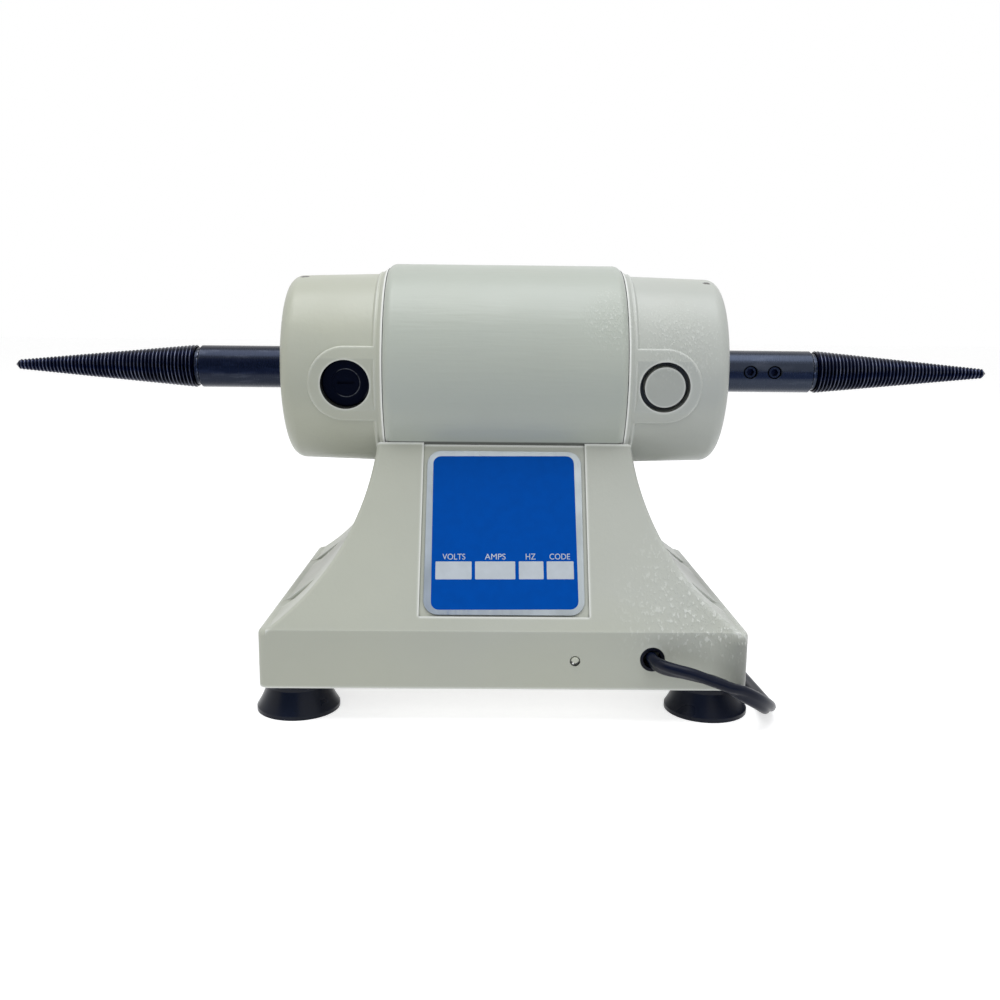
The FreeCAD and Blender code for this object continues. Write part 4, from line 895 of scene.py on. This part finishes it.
class ShapeTree(NodeTree):
    """A geometry tree being made. Its counts, its sizes and its material are named inputs."""

    def __init__(self, name, counts, sizes):
        super().__init__(bpy.data.node_groups.new(name, "GeometryNodeTree"))
        kinds = dict.fromkeys(counts, "NodeSocketInt") | dict.fromkeys(sizes, "NodeSocketFloat")
        kinds["Material"] = "NodeSocketMaterial"
        for label, kind in kinds.items():
            self.tree.interface.new_socket(name=label, in_out="INPUT", socket_type=kind)
        self.tree.interface.new_socket(name="Geometry", in_out="OUTPUT", socket_type="NodeSocketGeometry")
        self.given = self.node("NodeGroupInput").outputs
        self.result = self.node("NodeGroupOutput").inputs["Geometry"]

    def shaped(self, kind, given):
        """The outputs of a new node, after its inputs are fed by name."""
        made = self.node(kind)
        for name, value in given.items():
            self.feed(made.inputs[name], value)
        return made.outputs

    def finish(self, geometry):
        """Realize Instances and Set Material, as the last two nodes."""
        real = self.shaped("GeometryNodeRealizeInstances", {"Geometry": geometry})
        coat = self.shaped("GeometryNodeSetMaterial", {"Geometry": real["Geometry"],
                                                       "Material": self.given["Material"]})
        self.feed(self.result, coat["Geometry"])
        return self.tree


def grown(name, tree, values, material):
    """The mesh that a geometry tree makes from the given counts and sizes."""
    host = new_object(name + "_host", bpy.data.meshes.new(name + "_host"))
    modifier = host.modifiers.new(name, "NODES")
    modifier.node_group = tree
    given = {**values, "Material": materials[material]}
    for socket in tree.interface.items_tree:
        if socket.in_out == "INPUT":
            modifier[socket.identifier] = given[socket.name]
    mesh = turned_to_mesh(host)
    mesh.name = name
    return mesh


def threaded_taper_tree():
    """A tapered screw: a grid wound round the X axis, its radius cut by a helical V groove."""
    tree = ShapeTree("threaded_taper", ("Rings", "Sides"), (
        "Start", "Length", "Start radius", "Tip radius", "Point length", "Pitch", "Depth", "Hand"))
    given = tree.given
    calculate = tree.calculate
    grid = tree.shaped("GeometryNodeMeshGrid", {
        "Size X": 1.0, "Size Y": 1.0, "Vertices X": given["Rings"], "Vertices Y": given["Sides"]})
    across, up, _ = tree.parts(tree.node("GeometryNodeInputPosition").outputs[0])
    along = calculate("ADD", across, 0.5)
    turn = calculate("ADD", up, 0.5)
    x = calculate("MULTIPLY", along, given["Length"])
    taper = calculate("SUBTRACT", given["Start radius"], given["Tip radius"])
    crest = calculate("SUBTRACT", given["Start radius"], calculate("MULTIPLY", taper, along))
    turns = calculate("DIVIDE", x, given["Pitch"])
    winding = calculate("SUBTRACT", turns, calculate("MULTIPLY", turn, given["Hand"]))
    phase = calculate("FLOORED_MODULO", winding, 1.0)
    wave = calculate("ABSOLUTE", calculate("MULTIPLY_ADD", phase, 2.0, -1.0))
    groove = calculate("MULTIPLY_ADD", wave, 1 + thread_crest_flat, -thread_crest_flat)
    shallow = calculate("MINIMUM", calculate("DIVIDE", crest, thread_full_depth_radius), 1.0)
    cut = tree.product(calculate("MAXIMUM", groove, 0.0), given["Depth"], shallow)
    left = calculate("DIVIDE", calculate("SUBTRACT", given["Length"], x), given["Point length"])
    chamfered = calculate("SUBTRACT", given["Start radius"], thread_chamfer)
    radius = calculate("SUBTRACT", crest, cut)
    for limit in (calculate("MULTIPLY_ADD", x, thread_chamfer_slope, chamfered),
                  calculate("MULTIPLY", left, given["Tip radius"]),
                  calculate("MULTIPLY", x, thread_closing_slope)):
        radius = calculate("MINIMUM", radius, limit)
    angle = calculate("MULTIPLY", turn, 2 * math.pi)
    place = tree.place_at(calculate("ADD", x, given["Start"]),
                          calculate("MULTIPLY", radius, calculate("COSINE", angle)),
                          calculate("MULTIPLY", radius, calculate("SINE", angle)))
    moved = tree.shaped("GeometryNodeSetPosition", {"Geometry": grid["Mesh"], "Position": place})
    return tree.finish(moved["Geometry"])


def spindle_barrel(node, side, start):
    """The modelled barrel, cut off at its taper, with its end moved to the thread's start and closed."""
    work = bmesh.new()
    work.from_mesh(nodes[node].data)
    weld(work, spindle_weld)
    spare = [vertex for vertex in work.verts if side * vertex.co.x > modelled_thread_start + 0.01 * MM]
    bmesh.ops.delete(work, geom=spare, context="VERTS")
    for vertex in work.verts:
        if side * vertex.co.x > barrel_end_from:
            vertex.co.x -= side * (modelled_thread_start - start)
    rim = [edge for edge in work.edges if edge.is_boundary]
    bmesh.ops.contextual_create(work, geom=rim)
    barrel = bpy.data.meshes.new("barrel")
    work.to_mesh(barrel)
    work.free()
    return barrel


def make_spindle(node, side, start, tree):
    """One spindle: the barrel as modelled, and the threaded taper from its start out to the tip."""
    length = spindle_tip - start
    taper = grown("taper", tree, {
        "Rings": int(length / thread_pitch * thread_rings_per_turn), "Sides": thread_sides, "Start": start,
        "Length": length, "Start radius": thread_start_radius, "Tip radius": thread_tip_radius,
        "Point length": spindle_point, "Pitch": thread_pitch, "Depth": thread_depth, "Hand": -1.0},
        "black_oxide_steel")
    if side < 0:
        taper.transform(Matrix.Diagonal((-1, 1, 1, 1)))
    taper.transform(Matrix.Translation((0, 0, axis_height)))
    work = bmesh.new()
    work.from_mesh(taper)
    weld(work, spindle_weld)
    face_outwards(work)
    work.from_mesh(spindle_barrel(node, side, start))
    mesh = bpy.data.meshes.new(node)
    work.to_mesh(mesh)
    work.free()
    smooth(mesh, 16.0)
    placed(node + "_threaded", "rotor", "black_oxide_steel", mesh, (node,))


# Brush springs

def make_spring(side):
    """A brush's spring: a copy of the modelled one, on the body root."""
    modelled = f"brush_spring_{side}"
    joint = next(joint for joint in frame["joints"] if joint["name"] == f"brush_{side}_slide")
    out = Vector(joint["axis"])
    mesh = nodes[modelled].data.copy()
    mesh.name = f"spring_{side}"
    spring = placed(f"spring_{side}", "root", "spring_steel", mesh, (modelled,))
    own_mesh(spring)


# Plate on the back: a blue field inside a bare border, with four empty boxes and what they are for

plate_thickness = 0.8 * MM
plate_field_size = (50.4 * MM, 56.6 * MM)
plate_field_corner = 2.8 * MM
plate_field_heights = (-0.02 * MM, 0.03 * MM)
plate_print_turn = math.radians(0.5)
plate_print_height = 0.05 * MM
# The left and the right of each box, and each heading's middle and width, in millimetres
plate_boxes = [(-23.8, -11.35), (-10.15, 3.7), (4.95, 13.45), (14.6, 23.9)]
plate_headings = [("VOLTS", -17.5, 7.9), ("AMPS", -3.2, 7.2), ("HZ", 9.1, 3.4), ("CODE", 19.2, 7.1)]
plate_box_low = -17.6 * MM
plate_box_high = -11.2 * MM
plate_box_corner = 0.25 * MM
plate_heading_line = -10.5 * MM
plate_heading_height = 2.1 * MM


def lettering(name, words, matrix, thickness):
    """Flat letters as one mesh. Each word is (text, middle x, low y, width, height), in metres.

    A width of 0 keeps the letters' own shape.
    """
    work = bmesh.new()
    for text, x, y, width, height in words:
        curve = bpy.data.curves.new(name, "FONT")
        curve.body = text
        curve.extrude = 0.5
        mesh = turned_to_mesh(new_object(name, curve))
        low = [min(vertex.co[k] for vertex in mesh.vertices) for k in range(3)]
        high = [max(vertex.co[k] for vertex in mesh.vertices) for k in range(3)]
        tall = height / (high[1] - low[1])
        broad = width / (high[0] - low[0]) if width else tall
        scale = Matrix.Diagonal((broad, tall, thickness, 1))
        centred = Matrix.Translation((-(low[0] + high[0]) / 2, -low[1], 0.5))
        mesh.transform(Matrix.Translation((x, y, 0)) @ scale @ centred)
        work.from_mesh(mesh)
    mesh = bpy.data.meshes.new(name)
    weld(work, 0.0001 * MM)
    work.to_mesh(mesh)
    work.free()
    mesh.transform(matrix)
    return mesh


def plate_axes():
    """A matrix from the plate's own surface, seen from behind the machine, to the object's frame."""
    low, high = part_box("nameplate")
    front = Vector(frame["joints"][1]["axis"])
    out = Vector((0, -abs(front.y), abs(front.z)))
    up = out.cross(Vector((1, 0, 0)))
    return local_axes((low + high) / 2 + out * (plate_thickness / 2), (1, 0, 0), up)


def make_plate_print():
    axes = plate_axes() @ Matrix.Rotation(plate_print_turn, 4, "Z")
    outline = rounded_outline(*plate_field_size, plate_field_corner)
    field = slabs("plate_field", [outline], *plate_field_heights, axes)
    placed("plate_field", "root", "blue_print", field)
    boxes = []
    for left, right in plate_boxes:
        middle = Vector(((left + right) / 2 * MM, (plate_box_low + plate_box_high) / 2))
        shape = rounded_outline((right - left) * MM, plate_box_high - plate_box_low, plate_box_corner, 3)
        boxes.append([point + middle for point in shape])
    blank = slabs("plate_boxes", boxes, 0.0, plate_print_height, axes)
    placed("plate_boxes", "root", "white_print", blank)
    words = [(text, x * MM, plate_heading_line, width * MM, plate_heading_height)
             for text, x, width in plate_headings]
    letters = lettering("plate_headings", words, axes, plate_print_height)
    placed("plate_headings", "root", "white_print", letters)


# Front: the speed dial, the knob's pointer and the switch's marks

front_right = Vector((-1, 0, 0))
front_out = -Vector(frame["joints"][1]["axis"]).normalized()
front_up = front_out.cross(front_right)
print_thickness = 0.05 * MM

knob_centre = Vector(frame["joints"][1]["pos_m"])
knob_top = 14.4 * MM
dial_marks = 21
dial_sweep = math.radians(285)
dial_radius = 13.6 * MM
dial_mark_width = 0.45 * MM
dial_short_mark = 1.1 * MM
dial_long_mark = 2.0 * MM
dial_numbers = 11
dial_number_radius = 17.4 * MM
dial_number_height = 2.2 * MM
pointer_size = (0.9 * MM, 5.2 * MM)
pointer_corner = 0.4 * MM
pointer_off_middle = 4.4 * MM
pointer_heights = (-0.2 * MM, 0.08 * MM)

# The switch's rocking axis lies this deep behind its bezel's foot
switch_axis_depth = 2.5 * MM
switch_centre = Vector(frame["joints"][2]["pos_m"]) + front_out * switch_axis_depth
rocker_valley = 1.9 * MM
rocker_slope = math.atan2(1.7, 6.8)
rocker_mark_off_middle = 4.4 * MM
rocker_mark_height = 2.6 * MM
bezel_top = 1.6 * MM
bezel_mark_low = 6.05 * MM
bezel_mark_height = 1.1 * MM


def dial_tree():
    """Marks round an arc: every second one longer, each a thin closed slab, counted from the low end."""
    tree = ShapeTree("dial_marks", ("Count",), ("Sweep", "Radius", "Width", "Short", "Long", "Thickness"))
    given = tree.given
    calculate = tree.calculate
    line = tree.shaped("GeometryNodeMeshLine", {"Count": given["Count"]})
    index = tree.node("GeometryNodeInputIndex").outputs[0]
    share = calculate("DIVIDE", index, calculate("SUBTRACT", given["Count"], 1.0))
    angle = calculate("MULTIPLY", calculate("SUBTRACT", share, 0.5), given["Sweep"])
    shorter = calculate("SUBTRACT", given["Short"], given["Long"])
    odd = calculate("MODULO", index, 2.0)
    length = calculate("ADD", given["Long"], calculate("MULTIPLY", odd, shorter))
    middle = calculate("ADD", given["Radius"], calculate("DIVIDE", length, 2.0))
    place = tree.place_at(calculate("MULTIPLY", middle, calculate("SINE", angle)),
                          calculate("MULTIPLY", middle, calculate("COSINE", angle)))
    spots = tree.shaped("GeometryNodeSetPosition", {"Geometry": line["Mesh"], "Position": place})
    mark = tree.shaped("GeometryNodeMeshGrid", {
        "Size X": given["Width"], "Size Y": 1.0, "Vertices X": 2, "Vertices Y": 2})
    raised = tree.shaped("GeometryNodeExtrudeMesh", {
        "Mesh": mark["Mesh"], "Offset Scale": given["Thickness"]})
    under = tree.shaped("GeometryNodeFlipFaces", {"Mesh": mark["Mesh"]})
    both = tree.node("GeometryNodeJoinGeometry")
    for half in (raised, under):
        tree.feed(both.inputs["Geometry"], half["Mesh"])
    closed = tree.shaped("GeometryNodeMergeByDistance", {
        "Geometry": both.outputs["Geometry"], "Distance": 0.001 * MM})
    marks = tree.shaped("GeometryNodeInstanceOnPoints", {
        "Points": spots["Geometry"], "Instance": closed["Geometry"],
        "Rotation": tree.place_at(z=calculate("MULTIPLY", angle, -1.0)),
        "Scale": tree.place_at(1.0, length, 1.0)})
    return tree.finish(marks["Instances"])


def make_dial():
    axes = local_axes(knob_centre, front_right, front_up)
    marks = grown("dial_marks", dial_tree(), {
        "Count": dial_marks, "Sweep": dial_sweep, "Radius": dial_radius, "Width": dial_mark_width,
        "Short": dial_short_mark, "Long": dial_long_mark, "Thickness": print_thickness}, "dial_print")
    marks.transform(axes)
    placed("dial_marks", "root", "dial_print", marks)
    words = []
    for number in range(dial_numbers):
        angle = (number / (dial_numbers - 1) - 0.5) * dial_sweep
        x = dial_number_radius * math.sin(angle)
        y = dial_number_radius * math.cos(angle) - dial_number_height / 2
        words.append((str(number), x, y, 0.0, dial_number_height))
    numbers = lettering("dial_numbers", words, axes, print_thickness)
    placed("dial_numbers", "root", "dial_print", numbers)


def make_pointer():
    """A pale bar let into the knob's top. At rest it points at the dial's low end."""
    angle = -dial_sweep / 2
    ahead = front_right * math.sin(angle) + front_up * math.cos(angle)
    centre = knob_centre + front_out * knob_top + ahead * pointer_off_middle
    axes = local_axes(centre, ahead.cross(front_out), ahead)
    outline = rounded_outline(*pointer_size, pointer_corner, 4)
    bar = slabs("knob_pointer", [outline], *pointer_heights, axes)
    placed("knob_pointer", "knob", "pointer_print", bar)


def make_switch_marks():
    """I and II on the rocker's two wings, O on the bezel above it."""
    centre = switch_centre + front_out * rocker_valley
    for name, text, side in (("low_mark", "I", -1), ("high_mark", "II", 1)):
        right = front_right * math.cos(rocker_slope) + front_out * (side * math.sin(rocker_slope))
        axes = local_axes(centre, right, front_up)
        words = [(text, side * rocker_mark_off_middle, -rocker_mark_height / 2, 0.0, rocker_mark_height)]
        mark = lettering(name, words, axes, print_thickness)
        placed(name, "rocker", "pointer_print", mark)
    axes = local_axes(switch_centre + front_out * bezel_top, front_right, front_up)
    mark = lettering("off_mark", [("O", 0.0, bezel_mark_low, 0.0, bezel_mark_height)], axes, print_thickness)
    placed("off_mark", "root", "pointer_print", mark)


# Floor, light and background

world_strength = 0.38
floor_reach = 6.0
floor_glow = 0.62
lamps_aim_at = (0, 0, 0.09)
# Each lamp's place, size, power, colour, and whether it shows in reflections
lamps = {
    "top_softbox": ((0.0, -0.12, 1.15), (1.0, 0.8), 7.8, (0.95, 0.968, 1.0), True),
    "left_softbox": ((-0.50, -1.00, 0.60), (0.5, 0.7), 1.6, (1.0, 0.99, 0.95), False),
    "right_softbox": ((0.50, -1.00, 0.60), (0.5, 0.7), 1.6, (0.96, 0.99, 1.0), False),
}
# Each card's left and right end, and the (y, z) corners of its bent section
card_colour = (0.30, 0.40, 0.70)
card_floor = [(-0.14, 0.003), (-0.45, 0.003), (-0.60, 0.05)]
cards = {
    "left_card": (-0.85, 0.02, card_floor + [(-0.62, 0.78)]),
    "right_card": (0.02, 0.85, card_floor + [(-0.62, 0.16)]),
}


def background_strength(tree, plain, seen):
    """The plain value, but the seen value to camera, glossy and transmitted rays."""
    rays = tree.node("ShaderNodeLightPath").outputs
    straight = rays["Is Camera Ray"]
    for name in ("Is Glossy Ray", "Is Transmission Ray"):
        straight = tree.calculate("MAXIMUM", straight, rays[name])
    return tree.between(straight, 0.0, 1.0, plain, seen)


def make_world():
    world = bpy.data.worlds.new("world")
    bpy.context.scene.world = world
    world.use_nodes = True
    tree = NodeTree(world.node_tree)
    sky = world.node_tree.nodes["Background"].inputs
    sky["Color"].default_value = (1, 1, 1, 1)
    tree.feed(sky["Strength"], background_strength(tree, world_strength, 1.0))


def make_floor():
    points = [(x * floor_reach, y * floor_reach, 0) for x, y in ((-1, -1), (1, -1), (1, 1), (-1, 1))]
    floor = new_object("floor", mesh_from("floor", points, [(0, 1, 2, 3)]))
    finish = Finish("pale_floor", (0.80, 0.80, 0.80), 0.9)
    finish.shader.inputs["Emission Color"].default_value = (1, 1, 1, 1)
    finish.feed(finish.shader.inputs["Emission Strength"], background_strength(finish, 0.0, floor_glow))
    floor.data.materials.append(finish.material)


def make_lights():
    for name, (place, size, power, colour, mirrored) in lamps.items():
        lamp = bpy.data.lights.new(name, "AREA")
        lamp.shape = "RECTANGLE"
        lamp.size, lamp.size_y = size
        lamp.energy = power
        lamp.color = colour
        holder = new_object(name, lamp)
        holder.location = place
        holder.visible_glossy = mirrored
        holder.rotation_mode = "QUATERNION"
        holder.rotation_quaternion = (Vector(lamps_aim_at) - Vector(place)).to_track_quat("-Z", "Y")


def make_cards():
    """Blue cards round the camera that only reflections see. They give bare metal its darker bands."""
    material = Finish("blue_card", card_colour, 1.0, specular=0.0).material
    for name, (left, right, section) in cards.items():
        count = len(section)
        points = [(x, y, z) for x in (left, right) for y, z in section]
        faces = [(k, k + 1, k + 1 + count, k + count) for k in range(count - 1)]
        card = new_object(name, mesh_from(name, points, faces))
        card.data.materials.append(material)
        card.visible_camera = False
        card.visible_diffuse = False
        card.visible_shadow = False


make_camera()
make_cord()
paint_frame()
taper_tree = threaded_taper_tree()
make_spindle("right_spindle", 1, modelled_thread_start, taper_tree)
make_spindle("left_spindle", -1, left_thread_start, taper_tree)
make_spring("back")
make_spring("front")
make_plate_print()
make_dial()
make_pointer()
make_switch_marks()
make_world()
make_floor()
make_lights()
make_cards()
bpy.context.scene.view_settings.view_transform = "Standard"
